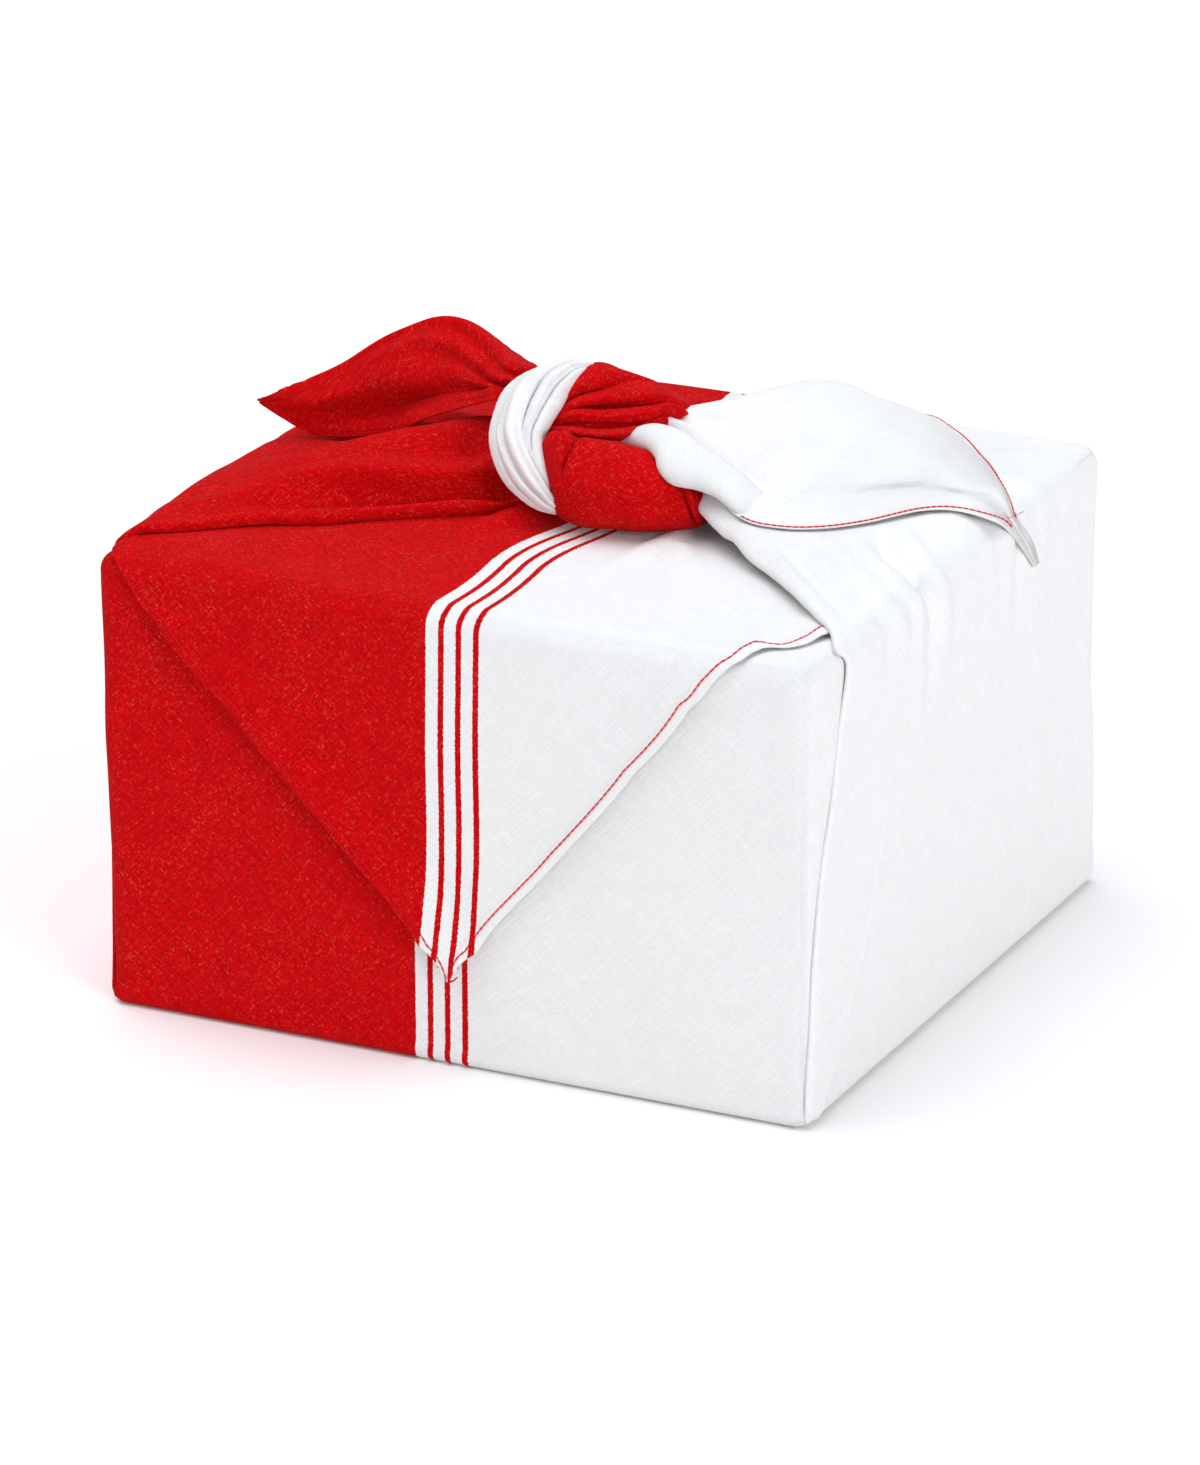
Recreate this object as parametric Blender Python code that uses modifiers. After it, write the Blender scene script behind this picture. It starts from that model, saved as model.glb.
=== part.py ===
# A square two-colour cloth wrapped round a parcel-shaped space and knotted on top.
# The cloth lies on its diagonal: one corner comes up the front and over the top, the opposite
# corner comes over it and hangs down the front as a pointed flap, and the two side corners are
# gathered over the top and tied in a square knot with two ears. Sizes are in millimetres.
# X runs along the front, Y to the back, Z up, and the origin is under the middle of the parcel.

import math

import bmesh
import bpy
from mathutils import Vector

MM = 0.001

WIDTH, DEPTH, HEIGHT = 275.0, 263.0, 171.5
EDGE = 8.0  # radius of the parcel's edges
SOFT_EDGE = 9.0  # what the gathers add to that radius at the back left top edge
SOFT_START = (20.0, -70.0, HEIGHT / 2)  # where that softness starts
SOFT_FULL = (-100.0, 60.0, HEIGHT)  # and where it is full
CLOTH = 1.2  # thickness of the sheet
LAYER = CLOTH + 0.5  # from one layer of cloth to the next
DROP = 136.0  # how far each pointed corner hangs below the top
MARGIN = 38.0  # what the front and back panels show round the upright edges
CLEAR = 1.0  # gap between a panel's edge on the top and its margin round the upright edge
OVERHANG = 4.0  # how far the panels on the top reach past its side edges behind that
HIDDEN_HALF_W = 123.0  # half the width of the hidden front corner where it goes down the back
HIDDEN_SINKS = (40.0, 90.0)  # where on the top it sinks one layer deeper, from the front edge
SIDE_LIFT = 45.0  # how far below the top the side panels start to lift off the others

HALF_W, HALF_D = WIDTH / 2, DEPTH / 2
NEAR = EDGE * (1 - math.tan(math.radians(22.5)))
ROUND = (-EDGE, -NEAR, 0.0, NEAR, EDGE)  # stations that carry a sheet round an edge
PLEAT_RISE = 36.0  # height at which those margins reach their full width
MARGIN_SLOPE = 0.1  # how fast the margins' top edges fall away from the upright edges
FACE_STEPS, SIDE_STEPS = 4, 18  # faces across the front and the sides
EAR_STEPS, STRAND_SIDES = 10, 12
SAME_POINT = 0.01  # points nearer than this are one

# Edges of the flap by the way along it: below the top edge is negative, back over the top positive.
FLAP_EDGES = (  # way, left, right
    (-136.0, 1.0, 1.0),
    (-125.0, -11.4, 11.0),
    (-84.0, -53.0, 42.0),
    (-43.0, -95.0, 71.0),
    (-18.0, -118.0, 90.0),
    (0.0, -134.0, 107.0),
    (17.0, -136.5, 108.0),
    (28.0, -137.0, 115.0),
    (38.0, -137.0, 128.0),
    (60.0, -138.0, 133.0),
    (100.0, -142.0, 142.0),
)

# Folded front edge of each side panel, by height above the ground.
FOLD_EDGE = (  # height, right y, left y
    (-EDGE, EDGE - HALF_D, EDGE - HALF_D),
    (EDGE, -126.5, -126.5),
    (32.0, -120.0, -121.0),
    (64.0, -115.0, -117.5),
    (95.0, -109.9, -114.0),
    (117.0, -103.5, -111.0),
    (138.0, -98.0, -108.0),
    (171.5, -97.0, -106.0),
)

# The gathers on the top, a row for each section from the side edge to the knot.
RIGHT_GATHER = (  # x, front y, back y, front z, crown z, back z
    (137.0, -97.0, 106.0, 173.0, 174.0, 173.0),
    (125.0, -98.0, 101.0, 175.5, 177.0, 175.5),
    (111.0, -87.0, 92.0, 177.0, 180.0, 177.0),
    (89.0, -70.0, 70.0, 178.5, 182.0, 178.5),
    (73.0, -58.0, 50.0, 180.0, 184.0, 180.0),
    (57.0, -46.0, 28.0, 183.0, 189.0, 182.0),
    (44.0, -36.0, 8.0, 187.0, 195.0, 186.0),
    (30.0, -32.0, -6.0, 189.0, 196.0, 188.0),
)
LEFT_GATHER = (
    (-137.0, -106.0, 106.0, 173.0, 174.0, 173.0),
    (-124.0, -103.0, 101.0, 175.0, 177.0, 175.5),
    (-101.0, -92.0, 86.0, 176.0, 178.0, 176.5),
    (-76.0, -81.0, 62.0, 176.5, 180.0, 178.0),
    (-55.0, -66.0, 40.0, 177.5, 183.0, 180.0),
    (-33.0, -52.0, 14.0, 179.0, 188.0, 186.0),
    (-16.0, -44.0, -4.0, 182.0, 192.0, 190.0),
)
GATHER_FOLDS = (  # side, way across at the edge, at the knot, height at the edge, at the knot, half width
    ("right", 0.03, 0.12, 1.5, 5.0, 0.06),
    ("right", 0.40, 0.45, 2.0, 2.0, 0.06),
    ("right", 0.66, 0.72, 1.5, 3.0, 0.07),
    ("left", 0.03, 0.10, 1.5, 4.0, 0.05),
    ("left", 0.26, 0.52, 3.0, 18.0, 0.17),
    ("left", 0.55, 0.80, 1.0, 3.0, 0.08),
)

# The ears, a row for each section from the knot to the tip.
LEFT_EAR = (  # lower edge, upper edge, crown
    ((-22.0, -22.0, 204.0), (-20.0, -14.0, 214.0), 0.0),
    ((-34.0, -17.0, 206.0), (-30.0, -9.0, 217.5), 1.0),
    ((-52.0, -11.0, 200.0), (-42.0, -2.0, 223.0), 4.0),
    ((-70.0, -7.0, 192.0), (-56.0, 4.0, 227.0), 7.0),
    ((-90.0, -4.0, 183.5), (-72.0, 6.0, 227.0), 8.0),
    ((-105.0, -4.0, 181.5), (-86.0, 4.0, 221.0), 7.0),
    ((-117.0, -5.0, 182.5), (-98.0, -1.0, 213.0), 5.0),
    ((-128.0, -8.0, 185.5), (-116.0, -8.0, 203.0), 2.0),
    ((-135.0, -12.0, 190.5), (-134.0, -12.0, 193.5), 0.0),
)
RIGHT_EAR = (
    ((28.0, -22.0, 200.0), (22.0, 0.0, 204.0), 0.0),
    ((42.0, -30.0, 201.5), (36.0, 12.0, 210.0), -3.0),
    ((56.0, -38.0, 199.0), (50.0, 30.0, 212.5), -5.0),
    ((70.0, -47.0, 195.0), (62.0, 50.0, 211.0), -4.0),
    ((86.0, -52.0, 190.0), (72.0, 70.0, 203.0), 1.0),
    ((102.0, -36.0, 187.5), (80.0, 86.0, 191.0), 5.0),
    ((114.0, -18.0, 186.0), (94.0, 86.0, 186.0), 5.0),
    ((124.0, 0.0, 184.5), (112.0, 70.0, 183.0), 3.0),
    ((131.0, 20.0, 182.0), (126.0, 56.0, 180.5), 1.0),
    ((137.0, 42.0, 178.0), (136.0, 48.0, 178.0), 0.0),
)
EAR_FOLDS = (  # ear, way across, depth, half width
    ("left", 0.22, 4.0, 0.10),
    ("left", 0.62, -3.0, 0.10),
    ("right", 0.30, -3.0, 0.12),
    ("right", 0.75, 2.0, 0.12),
)

# The strands of the knot: the two edges and the half thickness of each section.
STRANDS = {
    "white_band": (
        ((8.0, 2.0, 200.0), (16.0, -2.0, 204.0), 4.0),
        ((-6.0, 2.0, 212.0), (6.0, 0.0, 216.0), 5.0),
        ((-18.0, -10.0, 217.0), (-4.0, -10.0, 220.0), 5.0),
        ((-27.0, -21.0, 213.0), (-7.0, -24.0, 217.0), 5.5),
        ((-30.0, -30.0, 204.0), (-9.0, -36.0, 209.0), 6.0),
        ((-25.0, -37.0, 194.0), (-6.0, -44.0, 200.0), 6.0),
        ((-14.0, -42.0, 186.0), (-1.0, -47.0, 192.0), 5.5),
        ((0.0, -42.0, 180.0), (7.0, -45.0, 184.0), 4.5),
    ),
    "red_bulb": (
        ((-6.0, -30.0, 201.0), (0.0, -38.0, 186.0), 6.0),
        ((3.0, -28.0, 203.0), (8.0, -38.0, 179.0), 11.0),
        ((13.0, -26.0, 202.0), (18.0, -36.0, 176.0), 14.0),
        ((25.0, -23.0, 199.0), (30.0, -33.0, 175.5), 14.0),
        ((37.0, -22.0, 194.0), (42.0, -30.0, 176.0), 11.0),
        ((47.0, -24.0, 187.0), (52.0, -29.0, 177.0), 6.0),
    ),
    "red_fan": (
        ((-9.0, -34.0, 201.0), (-13.0, -22.0, 208.0), 4.0),
        ((0.0, -27.0, 203.0), (-6.0, -7.0, 215.0), 7.0),
        ((9.0, -22.0, 202.5), (2.0, 5.0, 216.0), 8.0),
        ((18.0, -15.0, 201.0), (14.0, 9.0, 210.0), 7.0),
        ((27.0, -6.0, 200.0), (24.0, 11.0, 204.0), 5.0),
    ),
    "white_strand": (
        ((8.0, -22.0, 196.0), (8.0, -12.0, 200.0), 5.0),
        ((22.0, -24.0, 198.0), (20.0, -10.0, 203.0), 6.0),
        ((36.0, -30.0, 195.0), (31.0, -13.0, 204.0), 6.5),
        ((50.0, -38.0, 193.5), (45.0, -20.0, 202.5), 6.0),
        ((64.0, -47.0, 192.0), (59.0, -30.0, 198.5), 5.0),
        ((78.0, -55.0, 190.0), (73.0, -40.0, 194.0), 3.5),
    ),
}


def smooth(value, start, end):
    """0 before start and 1 after end, with an even curve between them."""
    share = min(max((value - start) / (end - start), 0.0), 1.0)
    return share * share * (3 - 2 * share)


def bump(value, middle, half):
    """1 at the middle, falling softly to 0 at half a width on each side."""
    away = min(abs(value - middle) / half, 1.0)
    return (1 + math.cos(math.pi * away)) / 2


def read(table, key, column):
    """A column of a table at the key, which is the table's first column."""
    rows = sorted(table)
    key = min(max(key, rows[0][0]), rows[-1][0])
    for low, high in zip(rows, rows[1:]):
        if key <= high[0]:
            share = (key - low[0]) / (high[0] - low[0])
            return low[column] + (high[column] - low[column]) * share
    return rows[-1][column]


def between(start, end, count):
    """Stations from start to end, with neither end."""
    return [start + (end - start) * step / count for step in range(1, count)]


def on_parcel(x, y, z, out):
    """The middle of a sheet on the rounded parcel, under a point of its sharp box and moved outwards."""
    radius = EDGE + SOFT_EDGE * math.prod(map(smooth, (x, y, z), SOFT_START, SOFT_FULL))
    core = Vector(
        (
            min(max(x, radius - HALF_W), HALF_W - radius),
            min(max(y, radius - HALF_D), HALF_D - radius),
            min(max(z, radius), HEIGHT - radius),
        )
    )
    normal = (Vector((x, y, z)) - core).normalized()
    return core + normal * (radius + out - CLOTH / 2)


def up_and_over(way):
    """Distance from the middle and height of a panel at a way up its face and then over the top."""
    if way < 0:
        return HALF_D + way, 0.0
    if way <= HEIGHT:
        return HALF_D, way
    if way <= HEIGHT + DEPTH:
        return HALF_D - (way - HEIGHT), HEIGHT
    return -HALF_D, 2 * HEIGHT + DEPTH - way


def grid(rows, columns, place, keep=lambda row, column: True):
    """A sheet of rows and columns of faces, each point put where place(row, column) says."""
    mesh = bmesh.new()
    bmesh.ops.create_grid(mesh, x_segments=columns, y_segments=rows, size=0.5)
    dropped = []
    for face in mesh.faces:
        middle = face.calc_center_median()
        if not keep((middle.y + 0.5) * rows, (middle.x + 0.5) * columns):
            dropped.append(face)
    bmesh.ops.delete(mesh, geom=dropped, context="FACES")
    for point in mesh.verts:
        row = round((point.co.y + 0.5) * rows)
        column = round((point.co.x + 0.5) * columns)
        point.co = place(row, column)
    return mesh


def through(rows, steps):
    """The rows of numbers with steps sections between each two, on a smooth curve through them."""
    found = []
    for index in range(len(rows) - 1):
        ends = [rows[min(max(index + shift, 0), len(rows) - 1)] for shift in (-1, 0, 1, 2)]
        for step in range(steps):
            share = step / steps
            found.append([curve_value(*four, share) for four in zip(*ends)])
    return found + [list(rows[-1])]


def curve_value(before, start, end, after, share):
    """The value between start and end of a curve that also knows what lies before and after."""
    square, cube = share**2, share**3
    value = 2 * start + (end - before) * share
    value += (2 * before - 5 * start + 4 * end - after) * square
    return (value + (3 * start - before - 3 * end + after) * cube) / 2


COLLECTION = bpy.data.collections.new("furoshiki_wrap")
HELPERS = bpy.data.collections.new("furoshiki_wrap_helpers")


def make_material(name, colour, roughness):
    material = bpy.data.materials.new(name)
    material.use_nodes = True
    shader = material.node_tree.nodes["Principled BSDF"]
    shader.inputs["Base Color"].default_value = (*colour, 1)
    shader.inputs["Roughness"].default_value = roughness
    shader.inputs["Metallic"].default_value = 0.0
    return material


def make_object(name, mesh, collection):
    """The mesh, drawn in millimetres, as an object in metres."""
    bmesh.ops.scale(mesh, vec=(MM, MM, MM), verts=mesh.verts)
    data = bpy.data.meshes.new(name)
    mesh.to_mesh(data)
    mesh.free()
    item = bpy.data.objects.new(name, data)
    collection.objects.link(item)
    return item


def add_thickness(item):
    solid = item.modifiers.new("thickness", "SOLIDIFY")
    solid.thickness = CLOTH * MM
    solid.offset = 0
    return item


def add_piece(item, piece):
    """Joins another piece of the same cloth to the item."""
    piece.hide_render = True
    piece.display_type = "WIRE"
    join = item.modifiers.new("join_" + piece.name, "BOOLEAN")
    join.operation = "UNION"
    join.solver = "EXACT"
    join.object = piece


def flat_stations():
    """Stations across the flat of a face, closer where its softer edge starts."""
    flat, inner = HALF_W - EDGE, HALF_W - EDGE - SOFT_EDGE
    return [-flat, -inner, *between(-inner, inner, FACE_STEPS), inner, flat]


def base_mesh():
    """The flat cloth under the parcel, inside the start of its rounded edges."""
    across = flat_stations()
    deep = [EDGE - HALF_D] + between(EDGE - HALF_D, HALF_D - EDGE, SIDE_STEPS) + [HALF_D - EDGE]

    def place(row, column):
        return on_parcel(across[column], deep[row], 0, 0)

    return grid(len(deep) - 1, len(across) - 1, place)


def panel_mesh(side):
    """The front (-1) or back (1) panel, from the ground up its face, over the top and down again."""
    far = HEIGHT + DEPTH
    ways = [*ROUND, *between(EDGE, HEIGHT - EDGE, FACE_STEPS)]
    ways += [HEIGHT + step for step in ROUND] + between(HEIGHT + EDGE, far - MARGIN, FACE_STEPS + 1)
    ways += [far - MARGIN, far - MARGIN / 2, *(far + step for step in ROUND)]
    ways += between(far + EDGE, far + DROP, FACE_STEPS) + [far + DROP]
    right = [HALF_W + step for step in ROUND[1:]] + [HALF_W + EDGE + MARGIN / 2, HALF_W + EDGE + MARGIN]
    across = [-step for step in reversed(right)] + flat_stations() + right
    top_row = ways.index(HEIGHT)
    left_edge, right_edge = across.index(-HALF_W), across.index(HALF_W)

    def keep(row, column):
        return row < top_row or left_edge < column < right_edge

    def on_face(way, wide):
        out, height = up_and_over(way)
        past_corner = max(abs(wide) - (HALF_W - EDGE), 0)
        reach = min(abs(wide), HALF_W - EDGE) + past_corner * smooth(way, -EDGE, PLEAT_RISE)
        past = max(reach - HALF_W, 0)
        depth = LAYER * smooth(way, 0, EDGE)
        if side > 0:
            depth *= smooth(reach, HALF_W - EDGE, HALF_W)
        height -= past * MARGIN_SLOPE * height / HEIGHT
        return on_parcel(math.copysign(min(reach, HALF_W), wide), side * (out - past), height, -depth)

    def on_top(way, wide):
        out, height = up_and_over(way)
        share = wide / HALF_W
        half = HALF_W - CLEAR + OVERHANG * smooth(way, HEIGHT + EDGE, HEIGHT + MARGIN)
        if side > 0:
            edge = read(FLAP_EDGES, far - way, 1 if wide < 0 else 2)
            edge = min(max(edge, -half), half)
            middle = smooth(way, far, far + DROP)
            return on_parcel(middle + abs(share) * (edge - middle), side * out, height, 0)
        sunk = smooth(way - HEIGHT, *HIDDEN_SINKS)
        half = min(half + (HIDDEN_HALF_W - half) * sunk, far + DROP - way)
        return on_parcel(share * half, side * out, height, -LAYER * (1 + sunk))

    def place(row, column):
        way, wide = ways[row], across[column]
        return on_face(way, wide) if way <= HEIGHT else on_top(way, wide)

    return grid(len(ways) - 1, len(across) - 1, place, keep)


def side_mesh(name, side, table):
    """The left (-1) or right (1) panel: up its face between two folded edges, then gathered to the knot."""
    stations = through([[abs(row[0])] for row in table[1:]], 2)
    tops = [HEIGHT + HALF_W - station[0] for station in stations]
    ways = [*ROUND, *(row[0] for row in FOLD_EDGE if EDGE < row[0] < HEIGHT - EDGE)]
    ways += [HEIGHT + step for step in ROUND]
    ways += [way for way in tops if way > HEIGHT + EDGE + 1]
    count = SIDE_STEPS
    edge = 2 if side < 0 else 1
    rows = [[abs(row[0]), *row[1:]] for row in table]
    knot_x = rows[-1][0]

    def place(row, column):
        way, share = ways[row], column / count
        in_from_edge = max(way - HEIGHT, 0)
        x = HALF_W - in_from_edge
        front = read(FOLD_EDGE, way, edge)
        back = -read(FOLD_EDGE, way, edge)
        if way > HEIGHT:
            front, back = read(rows, x, 1), read(rows, x, 2)
        y = front + (back - front) * share
        lift = LAYER * smooth(way, HEIGHT - SIDE_LIFT, HEIGHT - EDGE)
        point = on_parcel(side * x, y, min(way, HEIGHT) if way > 0 else 0, lift)
        if way < 0:
            point = on_parcel(side * (HALF_W + way), y, 0, 0)
        towards_knot = in_from_edge / (HALF_W - knot_x)
        rim = read(rows, x, 3) + (read(rows, x, 5) - read(rows, x, 3)) * share
        crown = read(rows, x, 4) - (read(rows, x, 3) + read(rows, x, 5)) / 2
        rise = rim + crown * math.sin(math.pi * share) - HEIGHT - LAYER
        for owner, at_edge, at_knot, low, high, half in GATHER_FOLDS:
            if owner == name:
                middle = at_edge + (at_knot - at_edge) * towards_knot
                rise += (low + (high - low) * towards_knot) * bump(share, middle, half)
        point.z += rise * smooth(way, HEIGHT - EDGE, HEIGHT + EDGE)
        return point

    return grid(len(ways) - 1, count, place)


def ear_mesh(name, table):
    """A knotted corner's loose end: a sheet between its lower and upper edges, with a crown and folds."""
    rows = through([[*lower, *upper, crown] for lower, upper, crown in table], 2)

    def place(row, column):
        share = column / EAR_STEPS
        lower, upper, crown = Vector(rows[row][:3]), Vector(rows[row][3:6]), rows[row][6]
        along = Vector(rows[min(row + 1, len(rows) - 1)][:3]) - Vector(rows[max(row - 1, 0)][:3])
        normal = along.cross(upper - lower).normalized()
        if normal.z < 0:
            normal.negate()
        depth = crown * math.sin(math.pi * share)
        fade = math.sin(math.pi * row / (len(rows) - 1))
        for owner, middle, height, half in EAR_FOLDS:
            if owner == name:
                depth += height * fade * bump(share, middle, half)
        return lower + (upper - lower) * share + normal * depth

    return grid(len(rows) - 1, EAR_STEPS, place)


def strand_mesh(table):
    """A strand of the knot, oval across, closed at both ends."""
    rows = through([[*first, *second, thick] for first, second, thick in table], 2)

    def place(row, column):
        first, second, thick = Vector(rows[row][:3]), Vector(rows[row][3:6]), rows[row][6]
        middle = (first + second) / 2
        ahead, behind = rows[min(row + 1, len(rows) - 1)], rows[max(row - 1, 0)]
        along = Vector(ahead[:3]) + Vector(ahead[3:6]) - Vector(behind[:3]) - Vector(behind[3:6])
        across = (second - first) / 2
        normal = along.cross(across).normalized()
        angle = 2 * math.pi * column / STRAND_SIDES
        return middle + across * math.cos(angle) + normal * thick * math.sin(angle)

    mesh = grid(len(rows) - 1, STRAND_SIDES, place)
    bmesh.ops.remove_doubles(mesh, verts=mesh.verts, dist=SAME_POINT)
    bmesh.ops.holes_fill(mesh, edges=mesh.edges, sides=STRAND_SIDES)
    bmesh.ops.recalc_face_normals(mesh, faces=mesh.faces)
    return mesh


def join_meshes(meshes):
    """The sheets as one mesh, sewn where their edges meet."""
    whole = bmesh.new()
    for mesh in meshes:
        data = bpy.data.meshes.new("sheet")
        mesh.to_mesh(data)
        mesh.free()
        whole.from_mesh(data)
        bpy.data.meshes.remove(data)
    bmesh.ops.remove_doubles(whole, verts=whole.verts, dist=SAME_POINT)
    bmesh.ops.dissolve_degenerate(whole, edges=whole.edges, dist=SAME_POINT)
    bmesh.ops.recalc_face_normals(whole, faces=whole.faces)
    return whole


def make_wrap():
    """The whole cloth as one solid, with its ears and the strands of its knot."""
    sheets = [base_mesh(), panel_mesh(-1), panel_mesh(1)]
    sheets += [side_mesh("left", -1, LEFT_GATHER), side_mesh("right", 1, RIGHT_GATHER)]
    wrap = add_thickness(make_object("wrap_cloth", join_meshes(sheets), COLLECTION))
    for name, rows in STRANDS.items():
        add_piece(wrap, make_object(name, strand_mesh(rows), HELPERS))
    for name, rows in (("left", LEFT_EAR), ("right", RIGHT_EAR)):
        ear = make_object(name + "_ear", ear_mesh(name, rows), HELPERS)
        add_piece(wrap, add_thickness(ear))
    wrap.data.materials.append(make_material("red_linen", (0.60, 0.01, 0.015), 0.8))
    return wrap


def main():
    for item in list(bpy.data.objects):
        bpy.data.objects.remove(item)
    bpy.context.scene.collection.children.link(COLLECTION)
    bpy.context.scene.collection.children.link(HELPERS)
    HELPERS.hide_render = True
    make_wrap()


main()
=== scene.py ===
import math
from functools import partial

import bmesh
import bpy
from mathutils import Matrix, Vector, noise


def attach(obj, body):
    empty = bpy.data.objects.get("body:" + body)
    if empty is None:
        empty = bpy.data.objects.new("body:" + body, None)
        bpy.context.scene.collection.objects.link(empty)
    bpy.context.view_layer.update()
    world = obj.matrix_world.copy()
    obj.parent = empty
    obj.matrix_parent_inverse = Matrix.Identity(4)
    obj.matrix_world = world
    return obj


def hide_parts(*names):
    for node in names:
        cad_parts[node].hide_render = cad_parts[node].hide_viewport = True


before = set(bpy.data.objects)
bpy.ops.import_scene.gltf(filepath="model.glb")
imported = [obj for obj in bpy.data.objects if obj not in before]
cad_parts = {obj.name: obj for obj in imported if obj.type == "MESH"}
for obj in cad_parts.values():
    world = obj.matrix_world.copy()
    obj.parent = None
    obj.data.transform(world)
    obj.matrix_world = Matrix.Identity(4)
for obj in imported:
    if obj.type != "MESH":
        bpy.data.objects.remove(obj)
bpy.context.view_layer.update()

# Sizes are in millimetres until a mesh is finished. X runs along the front, Y to the back, Z up.
toMetres = 0.001

# The wrapped space that the cloth lies on, and the cloth itself.
parcel = {
    "width": 275.0,
    "depth": 263.0,
    "height": 171.5,
    "edge": 8.0,  # radius of its edges
    "softEdge": 9.0,  # added to that at the back left top edge
    "softStart": (20.0, -70.0, 86.0),
    "softFull": (-100.0, 60.0, 171.5),
    "footEdge": 0.75,  # the edges' radius at the bottom, as a share
    "footHigh": 24.0,
    "lean": 2.6,  # how far the left side leans out at its top
    "leanZ": (5.0, 115.0),  # the heights and the ways to the left over which it does so
    "leanX": (60.0, 137.5),
    "drop": 137.5,  # how far each pointed corner hangs below the top
    "cloth": 0.7,  # thickness of the cloth
    "inner": 1.7,  # depth of the layer under the outer one
    "rising": 0.4,  # share of that by which the layer rises again at the upright edges' tops
    "finest": 2.5,  # length of a face where the cloth shows
    "coarse": 8.0,  # and where it is hidden
    "corner": (12.0, 17.0, 23.0, 30.0, 38.0, 46.0),  # further columns of what lies round an upright edge
}
halfW, halfD, high = parcel["width"] / 2, parcel["depth"] / 2, parcel["height"]
edge, inner = parcel["edge"], parcel["inner"]
far = high + parcel["depth"]  # the way up one face and over the top

# The seven colour changes across the middle of the cloth, and where the stripes lie over from that.
stripes = {
    "changes": (-9.7, -5.0, -2.8, 1.7, 3.9, 8.5, 10.8),
    "frontShift": -4.4,
    "over": (  # way from the parcel's top front edge, how far the stripes lie to the right there
        (-137.5, 0.0), (-112.0, 0.8), (-90.0, 1.3), (-45.0, 1.1), (-5.0, 1.4), (4.0, 2.2), (26.0, 2.9),
        (42.0, 2.4), (55.0, 1.4), (67.0, 2.0), (79.0, 4.0), (89.0, 6.4), (101.0, 9.0), (130.0, 9.5),
        (263.0, 0.0), (440.0, 0.0),
    ),
}

hem = {
    "width": 3.9,
    "raise": 0.45,  # a third layer of cloth
    "offsets": (0.0, 0.5, 2.0, 3.6, 4.2, 6.0),  # columns of the mesh beside the cloth's edge
    "stitchIn": 3.0,  # the stitch line from the edge
    "stitchPitch": 2.5,
    "stitch": (2.8, 0.62, 0.55),  # one stitch
    "stitchUp": 0.08,  # how far its middle stands off the cloth
    "none": 60.0,  # stands for a place far from any edge
}


def smooth(value, start, end):
    share = min(max((value - start) / (end - start), 0.0), 1.0)
    return share * share * (3 - 2 * share)


def bump(value, middle, half):
    away = min(abs(value - middle) / half, 1.0)
    return (1 + math.cos(math.pi * away)) / 2


def curveValue(before, start, end, after, share):
    square, cube = share**2, share**3
    value = 2 * start + (end - before) * share
    value += (2 * before - 5 * start + 4 * end - after) * square
    return (value + (3 * start - before - 3 * end + after) * cube) / 2


def around(rows, place):
    # the four rows that a place between two of them is read from, and the share of the way
    place = min(max(place, 0.0), len(rows) - 1.0)
    index = min(int(place), len(rows) - 2)
    return [rows[min(max(index + shift, 0), len(rows) - 1)] for shift in (-1, 0, 1, 2)], place - index


def sectionAt(rows, place):
    four, share = around(rows, place)
    return [curveValue(*each, share) for each in zip(*four)]


def readTable(rows, key):
    # the rest of a table's row at the key, which is its first column and rises
    key = min(max(key, rows[0][0]), rows[-1][0])
    for index, (low, top) in enumerate(zip(rows, rows[1:])):
        if key <= top[0]:
            return sectionAt(rows, index + (key - low[0]) / (top[0] - low[0]))[1:]


def netValue(net, along, across):
    # the smooth surface through rows of control points, which may carry further values
    four, share = around(net, along * (len(net) - 1))
    rows = [sectionAt(row, across * (len(row) - 1)) for row in four]
    return [curveValue(*each, share) for each in zip(*rows)]


def netPoint(net, along, across):
    return Vector(netValue(net, along, across)[:3])


def besideLine(line, x, y):
    # how far away a line of (x, y, height, half width) is, in half widths, and its height there
    best, height = 1.0, 0.0
    for start, end in zip(line, line[1:]):
        spanX, spanY = end[0] - start[0], end[1] - start[1]
        share = ((x - start[0]) * spanX + (y - start[1]) * spanY) / (spanX**2 + spanY**2)
        share = min(max(share, 0.0), 1.0)
        away = math.hypot(x - start[0] - spanX * share, y - start[1] - spanY * share)
        away /= start[3] + (end[3] - start[3]) * share
        if away < best:
            best, height = away, start[2] + (end[2] - start[2]) * share
    return best, height


def foldHeight(folds, x, y):
    # soft ridges and troughs
    beside = [besideLine(line, x, y) for line in folds]
    return sum(height * bump(away, 0, 1) for away, height in beside)


def spaced(start, end, step):
    # even stations from start to end, with neither end
    count = max(2, round(abs(end - start) / step))
    return [start + (end - start) * index / count for index in range(1, count)]


def pastEdge():
    # stations that carry a sheet evenly round half of an edge's radius
    return [edge * (1 - math.tan(math.radians(angle))) for angle in (33.75, 22.5, 11.25, 0)]


def roundEdge():
    return [*(-each for each in reversed(pastEdge())), 0.0, *pastEdge()]


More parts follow.
